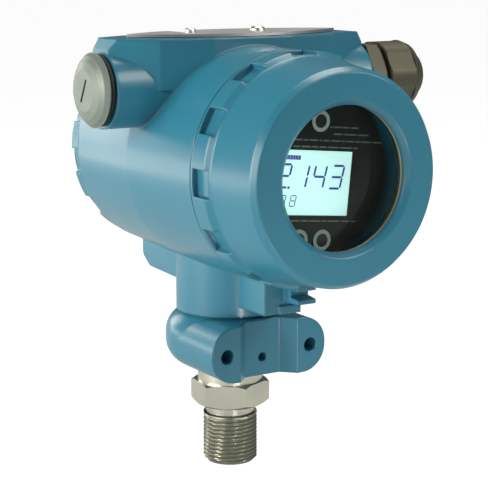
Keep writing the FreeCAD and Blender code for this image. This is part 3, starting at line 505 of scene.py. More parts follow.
# powder paint, sprayed and baked on a die casting: a soft gloss with faint orange peel
CAST_PAINT = Finish("powder_paint_teal", "#2D758F", "#296E87", 0.31, coat=0.12,
                    grain=Grain.ORANGE_PEEL, spacing_mm=0.9, mottle_mm=30, sheen_change=0.04,
                    edge_mm=1.1)
# turned 316 stainless: bright, with the lathe's rings drawn coarse enough to show
TURNED_STEEL = Finish("stainless_turned", "#D8DAD0", "#BFC1B7", 0.31, metallic=1.0,
                      grain=Grain.RINGS, spacing_mm=0.7, relief_mm=0.022, mottle_mm=9)
# the same steel where the die has cut it: darker and duller all over the thread
THREAD_STEEL = Finish("stainless_thread", "#A9ACA1", "#979A8E", 0.4, metallic=1.0,
                      grain=Grain.RINGS, spacing_mm=0.25, relief_mm=0.006)
# rolled stainless sheet, belt ground: a satin face with long fine streaks
PLATE_STEEL = Finish("stainless_sheet", "#E4E4E8", "#D6D6DA", 0.36, metallic=1.0,
                     grain=Grain.STREAKS, spacing_mm=0.3, relief_mm=0.004)
# pressed steel with bright zinc on it: small pale heads with a soft glint
SCREW_STEEL = Finish("screw_bright_zinc", "#E6E6E3", "#D8D8D4", 0.36, metallic=1.0,
                     spacing_mm=0.3, relief_mm=0.003)
# matt nickel over a zinc casting: a grey-green skin, half metal, with fine grit
PLUG_METAL = Finish("plug_matt_nickel", "#77847F", "#6D7A75", 0.5, metallic=0.35,
                    spacing_mm=0.5, relief_mm=0.012, mottle_mm=8)
# dark plate over turned brass: olive, duller than bare metal, with a warm sheen
GLAND_METAL = Finish("gland_olive_plate", "#57574B", "#4C4C41", 0.42, metallic=0.5,
                     spacing_mm=0.5, relief_mm=0.008, mottle_mm=9)
# moulded nitrile: near black, with no shine but along its crown
RUBBER = Finish("nitrile_rubber", "#0B0B0B", "#131312", 0.62, spacing_mm=0.5)
# moulded glass-filled nylon: a dead black well round the display
BLACK_PLASTIC = Finish("case_black_plastic", "#060707", "#0A0B0B", 0.75, spacing_mm=0.4)
# printed polyester film: a flat black, smoother than the case round it
LABEL_FILM = Finish("label_black_film", "#070A0B", "#0B0E0F", 0.7, spacing_mm=0.5,
                    relief_mm=0.004)
# screen-printed ink at full strength: the keys' rings stand out pale grey
PALE_INK = Finish("label_grey_ink", "#D5DAD7", "#C9CFCC", 0.5, spacing_mm=0.4,
                  relief_mm=0.002)
# the same ink in strokes too small to read: they melt to a mid grey
PRINT_INK = Finish("label_dim_ink", "#868C89", "#767C79", 0.55, spacing_mm=0.4,
                   relief_mm=0.002)
# moulded silicone: warm dark key tops, a little glossier than the label
KEY_RUBBER = Finish("key_dark_rubber", "#22201D", "#2B2824", 0.5, spacing_mm=0.4)
# glass laminate under solder mask: a wet green over a faint weave
BOARD = Finish("board_green_mask", "#14452A", "#1B5433", 0.4, spacing_mm=1.2, relief_mm=0.02)
# turned brass: warm yellow pillars with the lathe's rings
BRASS = Finish("turned_brass", "#C9A457", "#B5914A", 0.3, metallic=1.0, grain=Grain.RINGS,
               spacing_mm=0.3)
# pressed aramid fibre: a dry straw-coloured line round the glass
GASKET = Finish("gasket_fibre", "#CDB588", "#B9A074", 0.8, spacing_mm=0.5, relief_mm=0.03)
# moulded polyester: the terminal block's even charcoal
TERMINAL = Finish("terminal_plastic", "#22262A", "#2B3034", 0.5, spacing_mm=0.5)
# extruded vinyl sheath: soft dark grey
CABLE = Finish("cable_sheath", "#3A3C3E", "#44464A", 0.5, spacing_mm=0.5)
# moulded natural nylon: an off-white washer with a low gloss
NYLON = Finish("nylon_white", "#D9D8CF", "#CECDC3", 0.45, spacing_mm=0.5)
# a pale ice-blue field with a painted glow: bright without any lamp
LCD_FIELD_GLOW = PaintedGlow("lcd_field_painted_glow", "#CCF0EE", 0.83)
# dyed violet-blue segments, given a painted glow so that they stay visible behind the glass
LCD_INK_GLOW = PaintedGlow("lcd_blue_segment_painted_glow", "#45469F", 0.5)


# ---------------------------------------------------------------- sub-assemblies


@dataclass
class Casting:
    """The painted casting and its two covers."""

    paint: Finish = CAST_PAINT

    def build(self) -> None:
        """Paints the casting, the covers and nothing else."""
        for node in ("housing", "front_cover", "rear_cover"):
            dress(self.paint.material(), frame["nodes"][node])
            log.info("%s painted", node)


@dataclass
class Connection:
    """The stainless process connection with its real screw thread."""

    thread_r: float = 10.0 * MM
    pitch: float = 1.5 * MM
    depth: float = 0.92 * MM
    thread_to: float = 18.6 * MM
    chamfer: float = 1.4 * MM
    run_out: float = 1.2 * MM
    # pitches from the middle of a crest to where its flat ends and the root begins
    crest_to: float = 0.08
    root_from: float = 0.44
    round_steps: int = 96
    steps_per_pitch: int = 12
    # how far past the thread's end and chamfer a corner still belongs to the plain stub
    slack: float = 0.01 * MM
    round_below: float = 28.0

    def _tree(self) -> bpy.types.NodeTree:
        """Builds the Geometry Nodes tree that wraps a flat grid into a screw thread.

        Returns:
            The tree, with named inputs for the thread's sizes and its finish.
        """
        tree = bpy.data.node_groups.new("helical_thread", "GeometryNodeTree")
        tree.interface.new_socket("Geometry", in_out="OUTPUT", socket_type="NodeSocketGeometry")
        sizes = {
            "Radius": self.thread_r, "Pitch": self.pitch, "Depth": self.depth,
            "Length": self.thread_to, "Chamfer": self.chamfer, "Run Out": self.run_out,
            "Crest To": self.crest_to, "Root From": self.root_from,
        }
        for name, value in sizes.items():
            socket = tree.interface.new_socket(name, in_out="INPUT",
                                               socket_type="NodeSocketFloat")
            socket.default_value = value
        tree.interface.new_socket("Finish", in_out="INPUT", socket_type="NodeSocketMaterial")
        given = add_node(tree, "NodeGroupInput").outputs
        rows = int(self.thread_to / self.pitch * self.steps_per_pitch) + 1
        grid = add_node(tree, "GeometryNodeMeshGrid", {
            "Size X": 1.0, "Size Y": 1.0, "Vertices X": self.round_steps + 1, "Vertices Y": rows,
        })
        position = add_node(tree, "GeometryNodeInputPosition")
        spot = add_node(tree, "ShaderNodeSeparateXYZ", {0: position.outputs[0]}).outputs
        # the grid's middle is at 0, so half is added to run from 0 to 1 each way
        round_share = add_node(tree, "ShaderNodeMath", {0: spot["X"], 1: 0.5}, operation="ADD")
        rise = add_node(tree, "ShaderNodeMath", {0: spot["Y"], 1: 0.5}, operation="ADD")
        height = add_node(tree, "ShaderNodeMath", {0: rise.outputs[0], 1: given["Length"]},
                          operation="MULTIPLY").outputs[0]
        climb = add_node(tree, "ShaderNodeMath", {0: height, 1: given["Pitch"]},
                         operation="DIVIDE")
        turns = add_node(tree, "ShaderNodeMath",
                         {0: climb.outputs[0], 1: round_share.outputs[0]},
                         operation="SUBTRACT")
        # a right-hand V with a flat crest: 0 at the crest, 1 at the root
        wave = add_node(tree, "ShaderNodeMath", {0: turns.outputs[0], 1: 0.5},
                        operation="PINGPONG")
        groove = add_node(tree, "ShaderNodeMapRange", {
            "Value": wave.outputs[0], "From Min": given["Crest To"],
            "From Max": given["Root From"],
        })
        to_end = add_node(tree, "ShaderNodeMath", {0: given["Length"], 1: height},
                          operation="SUBTRACT")
        fade = add_node(tree, "ShaderNodeMapRange",
                        {"Value": to_end.outputs[0], "From Max": given["Run Out"]})
        full_cut = add_node(tree, "ShaderNodeMath", {0: groove.outputs[0], 1: given["Depth"]},
                            operation="MULTIPLY")
        cut = add_node(tree, "ShaderNodeMath", {0: full_cut.outputs[0], 1: fade.outputs[0]},
                       operation="MULTIPLY")
        threaded = add_node(tree, "ShaderNodeMath", {0: given["Radius"], 1: cut.outputs[0]},
                            operation="SUBTRACT")
        tip = add_node(tree, "ShaderNodeMath", {0: given["Radius"], 1: given["Chamfer"]},
                       operation="SUBTRACT")
        cone = add_node(tree, "ShaderNodeMath", {0: tip.outputs[0], 1: height}, operation="ADD")
        radius = add_node(tree, "ShaderNodeMath", {0: threaded.outputs[0], 1: cone.outputs[0]},
                          operation="MINIMUM")
        angle = add_node(tree, "ShaderNodeMath", {0: round_share.outputs[0], 1: 2 * math.pi},
                         operation="MULTIPLY")
        around = {}
        for way, wave_kind in (("X", "COSINE"), ("Y", "SINE")):
            share = add_node(tree, "ShaderNodeMath", {0: angle.outputs[0]}, operation=wave_kind)
            around[way] = add_node(tree, "ShaderNodeMath",
                                   {0: radius.outputs[0], 1: share.outputs[0]},
                                   operation="MULTIPLY").outputs[0]
        wrapped = add_node(tree, "ShaderNodeCombineXYZ", {**around, "Z": height})
        placed = add_node(tree, "GeometryNodeSetPosition",
                          {"Geometry": grid.outputs["Mesh"], "Position": wrapped.outputs[0]})
        real = add_node(tree, "GeometryNodeRealizeInstances", {"Geometry": placed.outputs[0]})
        coloured = add_node(tree, "GeometryNodeSetMaterial",
                            {"Geometry": real.outputs[0], "Material": given["Finish"]})
        add_node(tree, "NodeGroupOutput", {0: coloured.outputs[0]})
        return tree

    def build(self) -> None:
        """Replaces the plain connection by one whose stub has the thread."""
        cut = THREAD_STEEL.material()
        thread = grown("thread_skin", self._tree(), {"Finish": cut})
        bm = merged_copy("process_connection")
        edge = self.thread_to + self.slack
        root = self.thread_r - self.chamfer - self.slack
        bare = [
            f for f in bm.faces
            if all(v.co.z < edge and math.hypot(v.co.x, v.co.y) > root for v in f.verts)
        ]
        bmesh.ops.delete(bm, geom=bare, context="FACES")
        bm.from_mesh(thread.data)
        bpy.data.objects.remove(thread)
        piece = object_from("threaded_connection", bm, smooth=self.round_below)
        dress(TURNED_STEEL.material(), piece)
        piece.data.materials.append(cut)
        for face in piece.data.polygons:
            face.material_index = int(face.center.z < self.thread_to)
        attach(piece, "transmitter")
        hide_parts("process_connection")
        log.info("process connection threaded at %.2f mm pitch", self.pitch / MM)


class Facing(Enum):
    """Which way a screw's head looks: the axis, and the turns that bring its own Z there."""

    UP = "Z"
    BACK = "Y"

    def stance(self, spin: float) -> Vector:
        """The turns about X, Y and Z of a head that looks this way after its own spin."""
        return Vector((0, 0, spin)) if self is Facing.UP else Vector((-math.pi / 2, spin, 0))


@dataclass
class ScrewHeads:
    """Pan heads with a cross recess, one over each screw of the solids.

    Head and shank are made once at a radius and a length of 1, and Geometry Nodes stand them on
    the screws' places in their real sizes.
    """

    # a head's height and its shank's and its seat's radius, as shares of its radius
    head_high: float = 0.62
    shank_r: float = 0.45
    seat_r: float = 0.98
    # the cross: its reach, the width of an arm, and that width's share left at the tip
    recess: float = 0.34
    wing: float = 0.14
    wing_tip: float = 0.8
    # the cross's floor: how far in its corners are, and how high it lies in the head
    floor_in: float = 0.7
    floor_high: float = 0.35
    steps: int = 36
    # degrees: no two screws of a row end up driven home at the same angle
    first_spin: float = 25.0
    next_spin: float = 10.0

    # a head's side from its seat to its flat top, as shares of its radius and height
    SIDE: ClassVar[tuple[tuple[float, float], ...]] = (
        (1.0, 0.0), (1.0, 0.16), (0.97, 0.22), (0.86, 0.24),
        (0.85, 0.52), (0.79, 0.74), (0.66, 0.9), (0.42, 1.0),
    )

    def _head(self) -> bpy.types.Object:
        """Makes a pan head of radius 1 on z = 0, with a flange and a pressed cross.

        Returns:
            The head, for the tree to copy.
        """
        bm = bmesh.new()
        height = self.head_high
        revolve(bm, [(r, z * height) for r, z in self.SIDE], Matrix.Identity(4), self.steps)
        rim = [v for v in bm.verts if abs(v.co.z - height) < SAME_CORNER]
        rim.sort(key=lambda v: math.atan2(v.co.y, v.co.x))
        arm, half = self.recess, self.wing / 2
        cross = []
        for quarter in range(4):
            turn = Matrix.Rotation(quarter * math.pi / 2, 4, "Z")
            for x, y in ((half, -half), (arm, -half * self.wing_tip), (arm, half * self.wing_tip)):
                cross.append(bm.verts.new(turn @ Vector((x, y, height))))
        deep = [
            bm.verts.new(Vector((v.co.x * self.floor_in, v.co.y * self.floor_in,
                                 height * self.floor_high)))
            for v in cross
        ]
        for k in range(len(cross)):
            n = (k + 1) % len(cross)
            bm.faces.new([cross[n], cross[k], deep[k], deep[n]])
        bm.faces.new(deep)
        self._web(bm, rim, cross)
        return self._model("screw_head", bm)

    def _web(self, bm: bmesh.types.BMesh, rim: list, cross: list) -> None:
        """Fills the flat ring between the head's rim and the cross.

        Args:
            bm: the head's mesh data.
            rim: the corners round the flat top.
            cross: the corners round the cross.
        """
        edges = []
        for loop in (rim, cross):
            for k in range(len(loop)):
                pair = (loop[k], loop[(k + 1) % len(loop)])
                edges.append(bm.edges.get(pair) or bm.edges.new(pair))
        bmesh.ops.triangle_fill(bm, edges=edges, use_beauty=True)

    def _shank(self) -> bpy.types.Object:
        """Makes a shank of length 1 below z = 0, with the seat on which the head lies.

        Returns:
            The shank, for the tree to copy.
        """
        bm = bmesh.new()
        outline = [(0.0, -1.0), (self.shank_r, -1.0), (self.shank_r, 0.0), (self.seat_r, 0.0)]
        revolve(bm, outline, Matrix.Identity(4), self.steps)
        return self._model("screw_shank", bm)

    def _model(self, name: str, bm: bmesh.types.BMesh) -> bpy.types.Object:
        """Keeps mesh data as an object that the tree can copy.

        Args:
            name: the object's name.
            bm: the mesh data, freed here.

        Returns:
            The object, at the origin.
        """
        mesh = bpy.data.meshes.new(name)
        bm.to_mesh(mesh)
        bm.free()
        return new_object(name, mesh)

    def _tree(self) -> bpy.types.NodeTree:
        """Builds the Geometry Nodes tree that stands a head and a shank on each place.

        Returns:
            The tree, with named inputs for the places, both models and the finish.
        """
        tree = bpy.data.node_groups.new("screws_on_places", "GeometryNodeTree")
        tree.interface.new_socket("Geometry", in_out="OUTPUT", socket_type="NodeSocketGeometry")
        for name, kind in (("Places", "Geometry"), ("Head", "Object"), ("Shank", "Object"),
                           ("Finish", "Material")):
            tree.interface.new_socket(name, in_out="INPUT", socket_type="NodeSocket" + kind)
        given = add_node(tree, "NodeGroupInput").outputs
        stance = add_node(tree, "GeometryNodeInputNamedAttribute", {"Name": "stance"},
                          data_type="FLOAT_VECTOR")
        joined = add_node(tree, "GeometryNodeJoinGeometry")
        for part, size in (("Head", "head_size"), ("Shank", "shank_size")):
            model = add_node(tree, "GeometryNodeObjectInfo", {"Object": given[part]})
            scale = add_node(tree, "GeometryNodeInputNamedAttribute", {"Name": size},
                             data_type="FLOAT_VECTOR")
            stood = add_node(tree, "GeometryNodeInstanceOnPoints", {
                "Points": given["Places"], "Instance": model.outputs["Geometry"],
                "Rotation": stance.outputs[0], "Scale": scale.outputs[0],
            })
            tree.links.new(stood.outputs[0], joined.inputs[0])
        real = add_node(tree, "GeometryNodeRealizeInstances", {"Geometry": joined.outputs[0]})
        coloured = add_node(tree, "GeometryNodeSetMaterial",
                            {"Geometry": real.outputs[0], "Material": given["Finish"]})
        add_node(tree, "NodeGroupOutput", {0: coloured.outputs[0]})
        return tree

    def _places(self, nodes: Sequence[str], facing: Facing) -> bpy.types.Mesh:
        """Marks where the heads' seats are and how large each screw is.

        Args:
            nodes: the screws' solids.
            facing: the way their heads look.

        Returns:
            A mesh of one point a screw, with its stance and both sizes.
        """
        along = "XYZ".index(facing.value)
        spots, sizes = [], {"stance": [], "head_size": [], "shank_size": []}
        for number, node in enumerate(nodes):
            low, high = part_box(node)
            radius = (high.x - low.x) / 2
            height = radius * self.head_high
            spot = (low + high) / 2
            spot[along] = high[along] - height
            spots.append(spot)
            spin = math.radians(self.first_spin + self.next_spin * number)
            sizes["stance"].append(facing.stance(spin))
            sizes["head_size"].append(Vector((radius, radius, radius)))
            shank = high[along] - low[along] - height
            sizes["shank_size"].append(Vector((radius, radius, shank)))
        mesh = bpy.data.meshes.new("screw_places")
        mesh.from_pydata(spots, [], [])
        for name, values in sizes.items():
            kept = mesh.attributes.new(name, "FLOAT_VECTOR", "POINT")
            for k, value in enumerate(values):
                kept.data[k].vector = value
        return mesh

    def build(self) -> None:
        """Heads on the nameplate, the terminals, the terminal block and the ground screw."""
        steel = SCREW_STEEL.material()
        tree = self._tree()
        models = {"Head": self._head(), "Shank": self._shank()}
        rows = {
            "nameplate_screws": (Facing.UP, ["nameplate_pivot_screw", "nameplate_clamp_screw"]),
            "terminal_screws": (Facing.BACK, [
                "terminal_screw_1", "terminal_screw_2", "terminal_screw_3", "terminal_screw_4",
                "block_screw_right", "block_screw_left", "ground_screw",
            ]),
        }
        for name, (facing, nodes) in rows.items():
            row = grown(name + "_row", tree, {**models, "Finish": steel},
                        self._places(nodes, facing))
            bm = bmesh.new()
            bm.from_mesh(row.data)
            bpy.data.objects.remove(row)
            piece = object_from(name, bm)
            dress(steel, piece)
            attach(piece, "transmitter")
            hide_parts(*nodes)
            log.info("%s: %d heads", name, len(nodes))
        for model in models.values():
            bpy.data.objects.remove(model)


@dataclass
class Display:
    """The panel behind the window, with a painted glow: figures, bar, the keys' rings and the
    label.
    """

    # degrees that the whole display sits turned in its cover
    tilt: float = 5.6
    ink_thick: float = 0.02 * MM
    # the panel's lit field, from its middle
    half_width: float = 16.6 * MM
    half_height: float = 10.9 * MM
    # the large figures, set from the field's right edge and foot
    digit_height: float = 7.7 * MM
    digit_width: float = 4.5 * MM
    digit_pitch: float = 7.1 * MM
    stroke: float = 0.8 * MM
    slant: float = 0.17
    segment_gap: float = 0.12
    figures_right: float = 4.0 * MM
    figures_foot: float = 9.2 * MM
    point_pitches: float = 2.35
    # the small pair, as a share of the large figures, set from the field's left edge and foot
    small_size: float = 0.46
    small_left: float = 5.2 * MM
    small_pitch: float = 4.1 * MM
    small_foot: float = 3.0 * MM
    # the bar-graph's blocks, set from the field's left edge and top
    bar_blocks: int = 10
    bar_left: float = 2.0 * MM
    bar_down: float = 3.3 * MM
    bar_pitch: float = 1.05 * MM
    bar_width: float = 0.95 * MM
    bar_height: float = 1.5 * MM
    # the ring on each key, as shares of its radius
    ring_inner: float = 0.62
    ring_outer: float = 0.96
    ring_thick: float = 0.03 * MM
    ring_steps: int = 48
    print_high: float = 0.5 * MM
    print_gap: float = 0.6 * MM

    FIGURES: ClassVar[str] = "2143"
    SMALL_FIGURES: ClassVar[str] = "88"
    SEGMENTS: ClassVar[dict[str, str]] = {
        "1": "bc", "2": "abged", "3": "abgcd", "4": "fgbc", "8": "abcdefg",
    }
    # the decimal point's corners from its own foot, in millimetres
    POINT: ClassVar[tuple[tuple[float, float], ...]] = (
        (0.0, -0.5), (0.9, -0.5), (1.0, 0.4), (0.1, 0.4),
    )
    # left end, foot and the lengths of the dashes, in millimetres on the label's face
    PRINT_ROWS: ClassVar[tuple[tuple[float, float, tuple[float, ...]], ...]] = (
        (4.3, 15.3, (1.0, 3.2, 2.4, 3.2)), (6.0, 13.0, (3.6, 5.2, 4.4)),
        (-9.9, 10.7, (3.4, 1.8, 3.2, 1.0, 2.6, 4.0, 1.2, 3.0, 2.0, 4.2, 3.6)),
        (-9.9, 8.5, (2.6, 3.8, 2.2, 3.0, 4.4, 4.8, 1.8)),
        (-11.2, -16.4, (2.4, 3.4, 2.8, 4.6, 1.6, 5.0, 3.4, 2.0)),
    )

    def _digit(self, bm: bmesh.types.BMesh, figure: str, x: float, y: float, size: float,
               place: Matrix) -> None:
        """Adds one slanted seven-segment figure.

        Args:
            bm: the mesh data that gets it.
            figure: which figure.
            x: its left edge.
            y: its foot.
            size: share of the full digit size.
            place: the panel's frame.
        """
        w, h = self.digit_width * size, self.digit_height * size
        t = self.stroke * size
        gap = self.segment_gap * t
        bars = {
            "a": (0, h, w, h), "b": (w, h / 2, w, h), "c": (w, 0, w, h / 2), "d": (0, 0, w, 0),
            "e": (0, 0, 0, h / 2), "f": (0, h / 2, 0, h), "g": (0, h / 2, w, h / 2),
        }
        for key in self.SEGMENTS[figure]:
            x0, y0, _, y1 = bars[key]
            flat = y0 == y1
            run = (w if flat else h / 2) - 2 * gap
            side = t / 2
            points = [(0, 0), (side, side), (run - side, side),
                      (run, 0), (run - side, -side), (side, -side)]
            corners = []
            for u, v in points:
                px, py = (x0 + gap + u, y0 + v) if flat else (x0 - v, y0 + gap + u)
                corners.append((x + px + self.slant * py, y + py))
            slab(bm, corners, self.ink_thick, place)

    def _block(self, bm: bmesh.types.BMesh, left: float, foot: float, width: float, height: float,
               place: Matrix) -> None:
        """Adds one upright block of ink.

        Args:
            bm: the mesh data that gets it.
            left: its left edge.
            foot: its lower edge.
            width: how wide it is.
            height: how high it is.
            place: the frame of the face that it is on.
        """
        right, head = left + width, foot + height
        corners = [(left, foot), (right, foot), (right, head), (left, head)]
        slab(bm, corners, self.ink_thick, place)

    def _segments(self) -> None:
        """Builds the figures, the point, the small pair and the bar."""
        bm = bmesh.new()
        place = front_of("lcd_panel", self.tilt)
        last = self.half_width - self.figures_right - self.digit_width
        foot = self.figures_foot - self.half_height
        for k, figure in enumerate(reversed(self.FIGURES)):
            self._digit(bm, figure, last - k * self.digit_pitch, foot, 1.0, place)
        point = last - self.point_pitches * self.digit_pitch
        slab(bm, [(point + x * MM, foot + y * MM) for x, y in self.POINT], self.ink_thick, place)
        for k, figure in enumerate(self.SMALL_FIGURES):
            left = self.small_left + k * self.small_pitch - self.half_width
            self._digit(bm, figure, left, self.small_foot - self.half_height, self.small_size,
                        place)
        for k in range(self.bar_blocks):
            left = self.bar_left + k * self.bar_pitch - self.half_width
            self._block(bm, left, self.half_height - self.bar_down, self.bar_width,
                        self.bar_height, place)
        piece = object_from("lcd_segments", bm, smooth=None)
        # the figures, point and bar wear a painted glow
        dress(LCD_INK_GLOW.material(), piece)
        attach(piece, "transmitter")
        log.info("display shows %s", self.FIGURES)

    def _rings(self) -> None:
        """Builds the pale printed ring round each key."""
        for node, body in (("display_key_top", "top_key"), ("display_key_left", "left_key"),
                           ("display_key_right", "right_key")):
            low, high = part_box(node)
            radius = (high.x - low.x) / 2
            inner, outer = radius * self.ring_inner, radius * self.ring_outer
            section = [(inner, 0.0), (inner, self.ring_thick), (outer, self.ring_thick),
                       (outer, 0.0), (inner, 0.0)]
            bm = bmesh.new()
            revolve(bm, section, front_of(node), self.ring_steps)
            piece = object_from(node + "_ring", bm)
            dress(PALE_INK.material(), piece)
            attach(piece, body)
            log.info("%s ringed", node)

    def _print(self) -> None:
        """Builds rows of plain dashes where such a label carries small print."""
        place = front_of("display_label", self.tilt)
        bm = bmesh.new()
        for x, y, dashes in self.PRINT_ROWS:
            left = x * MM
            for length in dashes:
                self._block(bm, left, y * MM, length * MM, self.print_high, place)
                left += length * MM + self.print_gap
        piece = object_from("label_print", bm, smooth=None)
        dress(PRINT_INK.material(), piece)
        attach(piece, "transmitter")
        log.info("label printed in %d rows", len(self.PRINT_ROWS))

    def build(self) -> None:
        """Dresses the display's solids and adds what is printed on them."""
        nodes = frame["nodes"]
        # the field's brightness is a painted glow, not a lamp
        dress(LCD_FIELD_GLOW.material(), nodes["lcd_panel"])
        dress(LABEL_FILM.material(), nodes["display_label"])
        dress(BLACK_PLASTIC.material(), nodes["display_case"], nodes["electronics_case"])
        dress(KEY_RUBBER.material(), nodes["display_key_top"], nodes["display_key_left"],
              nodes["display_key_right"])
        dress(BOARD.material(), nodes["main_board"], nodes["display_board"])
        dress(BRASS.material(), nodes["display_pillar_right"], nodes["display_pillar_left"])
        self._segments()
        self._rings()
        self._print()


@dataclass
class WindowSeal:
    """The fibre seal between the glass and the cover's lip, with its bead inside the bore."""

    bead_reach: float = 5.35 * MM
    # the bead's corner, as a share of the seal's thickness
    bead_round: float = 0.3
    round_steps: int = 128

    def build(self) -> None:
        """Turns the seal's section about the barrel's axis and puts it in the gasket's place."""
        low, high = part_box("window_gasket")
        outer = (high.x - low.x) / 2
        inner, thick = outer - self.bead_reach, high.y - low.y
        corner = thick * self.bead_round
        section = [
            (outer, 0.0), (outer, thick), (inner + corner, thick), (inner, thick - corner),
            (inner, corner), (inner + corner, 0.0), (outer, 0.0),
        ]
        middle = (low + high) / 2
        back = Matrix.Translation(Vector((middle.x, high.y, middle.z)))
        bm = bmesh.new()
        revolve(bm, section, back @ Matrix.Rotation(math.pi / 2, 4, "X"), self.round_steps)
        piece = object_from("window_seal", bm)
        dress(GASKET.material(), piece)
        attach(piece, "front_window")
        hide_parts("window_gasket")
        log.info("window sealed with a bead of %.1f mm", thick / MM)


@dataclass
class Fittings:
    """What is only dressed: seals, window, nameplate, plug, gland and the inner pieces."""

    def build(self) -> None:
        """Gives each remaining solid its finish."""
        worn = {
            RUBBER: ("connection_oring", "front_cover_oring", "rear_cover_oring", "plug_oring",
                     "gland_oring", "gland_seal"),
            ClearGlass(): ("window_glass",),
            TURNED_STEEL: ("window_retainer", "pressure_sensor"),
            PLATE_STEEL: ("nameplate",),
            PLUG_METAL: ("conduit_plug",),
            GLAND_METAL: ("gland_body", "gland_nut"),
            NYLON: ("gland_washer",),
            CABLE: ("sensor_cable",),
            SCREW_STEEL: ("module_screw_right", "module_screw_left"),
            BLACK_PLASTIC: ("wire_feedthrough", "span_button", "zero_button"),
            TERMINAL: ("terminal_block",),
        }
        for finish, nodes in worn.items():
            dress(finish.material(), *(frame["nodes"][node] for node in nodes))
            log.info("%s on %s", finish.name, ", ".join(nodes))


# ---------------------------------------------------------------- studio


@dataclass(frozen=True)
class Lamp:
    """A soft box that the lens doesn't see.

    Azimuth is in degrees round the object from its front, elevation in degrees above the
    horizon, distance and the width and height of size in metres. It looks at aim, or at the
    camera's own aim if that is left out.
    """

    name: str
    azimuth: float
    elevation: float
    distance: float
    size: tuple[float, float]
    watts: float
    aim: tuple[float, float, float] | None = None


LAMPS = (
    # the key light and its neighbours, which model the barrel's left side
    Lamp("left_box", -96, 8, 0.9, (0.45, 0.6), 8.6),
    Lamp("front_left_box", -76, 13, 0.9, (0.35, 0.45), 2.6),
    Lamp("rear_left_box", -165, 14, 0.9, (0.35, 0.4), 2.2),
    # the long glint low on the barrel, and a little light under the cover
    Lamp("barrel_panel", -138, -5, 0.6, (0.5, 0.12), 0.6, aim=(0.0, 0.0, 110 * MM)),
    Lamp("low_front_box", -50, -4, 0.9, (0.3, 0.15), 0.3),
    # the fill from the right, with a small card for the cover's face
    Lamp("right_box", 32, 39, 0.9, (0.35, 0.35), 2.8),
    Lamp("face_card", 38, 30, 0.3, (0.1, 0.06), 0.18),
    # the light on the block and the nameplate
    Lamp("top_box", 125, 72, 0.9, (0.5, 0.5), 5.5),
    # the narrow strip that the neck mirrors
    Lamp("neck_strip", -9, -8, 0.2, (0.014, 0.045), 0.07, aim=(0.0, 0.0, 52 * MM)),
)


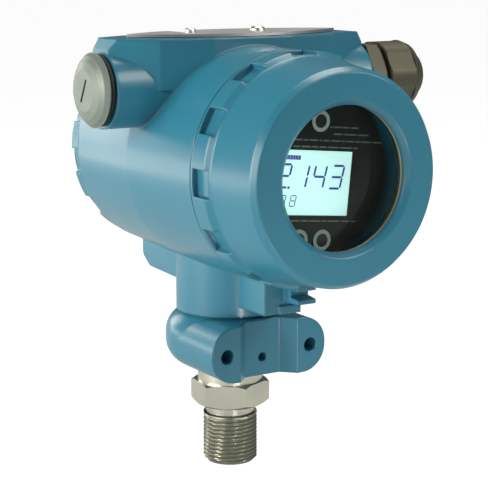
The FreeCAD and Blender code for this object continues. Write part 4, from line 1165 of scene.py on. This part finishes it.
@dataclass
class Studio:
    """Camera, lamps, floor and surroundings."""

    azimuth: float = -31.9
    elevation: float = 10.68
    distance: float = 0.575
    lens: float = 115.7
    sensor_width: float = 36.0
    aim: tuple[float, float, float] = (4.4 * MM, -2.74 * MM, 81.72 * MM)
    lamps: tuple[Lamp, ...] = LAMPS
    lamp_colour: str = "#FFF7EC"
    # the world's level for what gathers and mirrors it, and for the lens
    sky_colour: str = "#FFFFFF"
    sky_gathered: float = 0.1
    sky_seen: float = 1.0
    # the floor's half width in metres, and its gap under the stub
    floor_reach: float = 6.0
    floor_gap: float = 0.2 * MM
    # the paper's colour for what gathers and mirrors it, and for the lens
    paper_gathered: str = "#CDD0D0"
    paper_seen: str = "#F2F2F0"
    # the light that whitens the paper for the lens, and its share; the rest takes the shadow
    whitener: float = 1.14
    whitener_share: float = 0.84

    def _away(self, azimuth: float, elevation: float) -> Vector:
        """The way from the object towards a place round it."""
        a, e = math.radians(azimuth), math.radians(elevation)
        return Vector((math.sin(a) * math.cos(e), -math.cos(a) * math.cos(e), math.sin(e)))

    def _stand(self, thing: bpy.types.Object, back: Vector, distance: float,
               aim: Sequence[float]) -> None:
        """Puts a camera or a lamp at a distance from a point, looking at it.

        Args:
            thing: the camera or lamp.
            back: the way from the point to it.
            distance: metres away.
            aim: the point.
        """
        thing.location = Vector(aim) + back * distance
        thing.rotation_euler = (-back).to_track_quat("-Z", "Y").to_euler()

    def _camera(self) -> None:
        """Sets a long lens at the object's front left."""
        data = bpy.data.cameras.new("camera")
        data.lens = self.lens
        data.sensor_width = self.sensor_width
        camera = new_object("camera", data)
        self._stand(camera, self._away(self.azimuth, self.elevation), self.distance, self.aim)
        bpy.context.scene.camera = camera

    def _light(self, lamp: Lamp) -> None:
        """Hangs one soft box.

        Args:
            lamp: its place, size and power.
        """
        data = bpy.data.lights.new(lamp.name, "AREA")
        data.shape = "RECTANGLE"
        data.size, data.size_y = lamp.size
        data.energy = lamp.watts
        data.color = linear(self.lamp_colour)[:3]
        hung = new_object(lamp.name, data)
        self._stand(hung, self._away(lamp.azimuth, lamp.elevation), lamp.distance,
                    lamp.aim or self.aim)
        hung.visible_camera = False

    def _surroundings(self) -> None:
        """Sets a white world for the lens, and a soft grey one for what the object gathers."""
        world = bpy.data.worlds.new("studio")
        bpy.context.scene.world = world
        world.use_nodes = True
        tree = world.node_tree
        tree.nodes.clear()
        path = add_node(tree, "ShaderNodeLightPath").outputs
        level = add_node(tree, "ShaderNodeMix", {
            "Factor": path["Is Camera Ray"], "A": self.sky_gathered, "B": self.sky_seen,
        })
        sky = add_node(tree, "ShaderNodeBackground",
                       {"Color": linear(self.sky_colour), "Strength": level.outputs[0]})
        add_node(tree, "ShaderNodeOutputWorld", {"Surface": sky.outputs[0]})

    def _paper(self) -> bpy.types.Material:
        """Builds the floor's matt sweep of paper: even and white, with a faint shadow.

        Returns:
            A node material, white for the lens and greyer for what the object gathers.
        """
        made, tree = empty_material("floor_paper")
        path = add_node(tree, "ShaderNodeLightPath").outputs
        tone = add_node(tree, "ShaderNodeMix", {
            0: path["Is Camera Ray"], 6: linear(self.paper_gathered), 7: linear(self.paper_seen),
        }, data_type="RGBA")
        paper = add_node(tree, "ShaderNodeBsdfDiffuse", {"Color": tone.outputs[2]})
        white = add_node(tree, "ShaderNodeEmission",
                         {"Color": linear(self.sky_colour), "Strength": self.whitener})
        share = add_node(tree, "ShaderNodeMath",
                         {0: path["Is Camera Ray"], 1: self.whitener_share},
                         operation="MULTIPLY")
        both = add_node(tree, "ShaderNodeMixShader",
                        {0: share.outputs[0], 1: paper.outputs[0], 2: white.outputs[0]})
        add_node(tree, "ShaderNodeOutputMaterial", {"Surface": both.outputs[0]})
        return made

    def _floor(self) -> None:
        """Lays the paper just under the object."""
        low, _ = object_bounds()
        bm = bmesh.new()
        bmesh.ops.create_grid(bm, x_segments=1, y_segments=1, size=self.floor_reach)
        bmesh.ops.translate(bm, verts=bm.verts, vec=Vector((0, 0, low.z - self.floor_gap)))
        floor = object_from("floor", bm, smooth=None)
        dress(self._paper(), floor)
        floor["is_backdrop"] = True

    def build(self) -> None:
        """Sets the stage."""
        bpy.context.scene.view_settings.view_transform = "Standard"
        self._camera()
        self._surroundings()
        self._floor()
        for lamp in self.lamps:
            self._light(lamp)
        log.info("studio set with %d lamps", len(self.lamps))


def main() -> None:
    """Builds the transmitter's looks in order."""
    logging.basicConfig(level=logging.INFO, format="%(name)s: %(message)s")
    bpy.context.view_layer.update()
    for part in (Casting(), Connection(), ScrewHeads(), Display(), WindowSeal(), Fittings(),
                 Studio()):
        part.build()


if __name__ == "__main__":
    main()
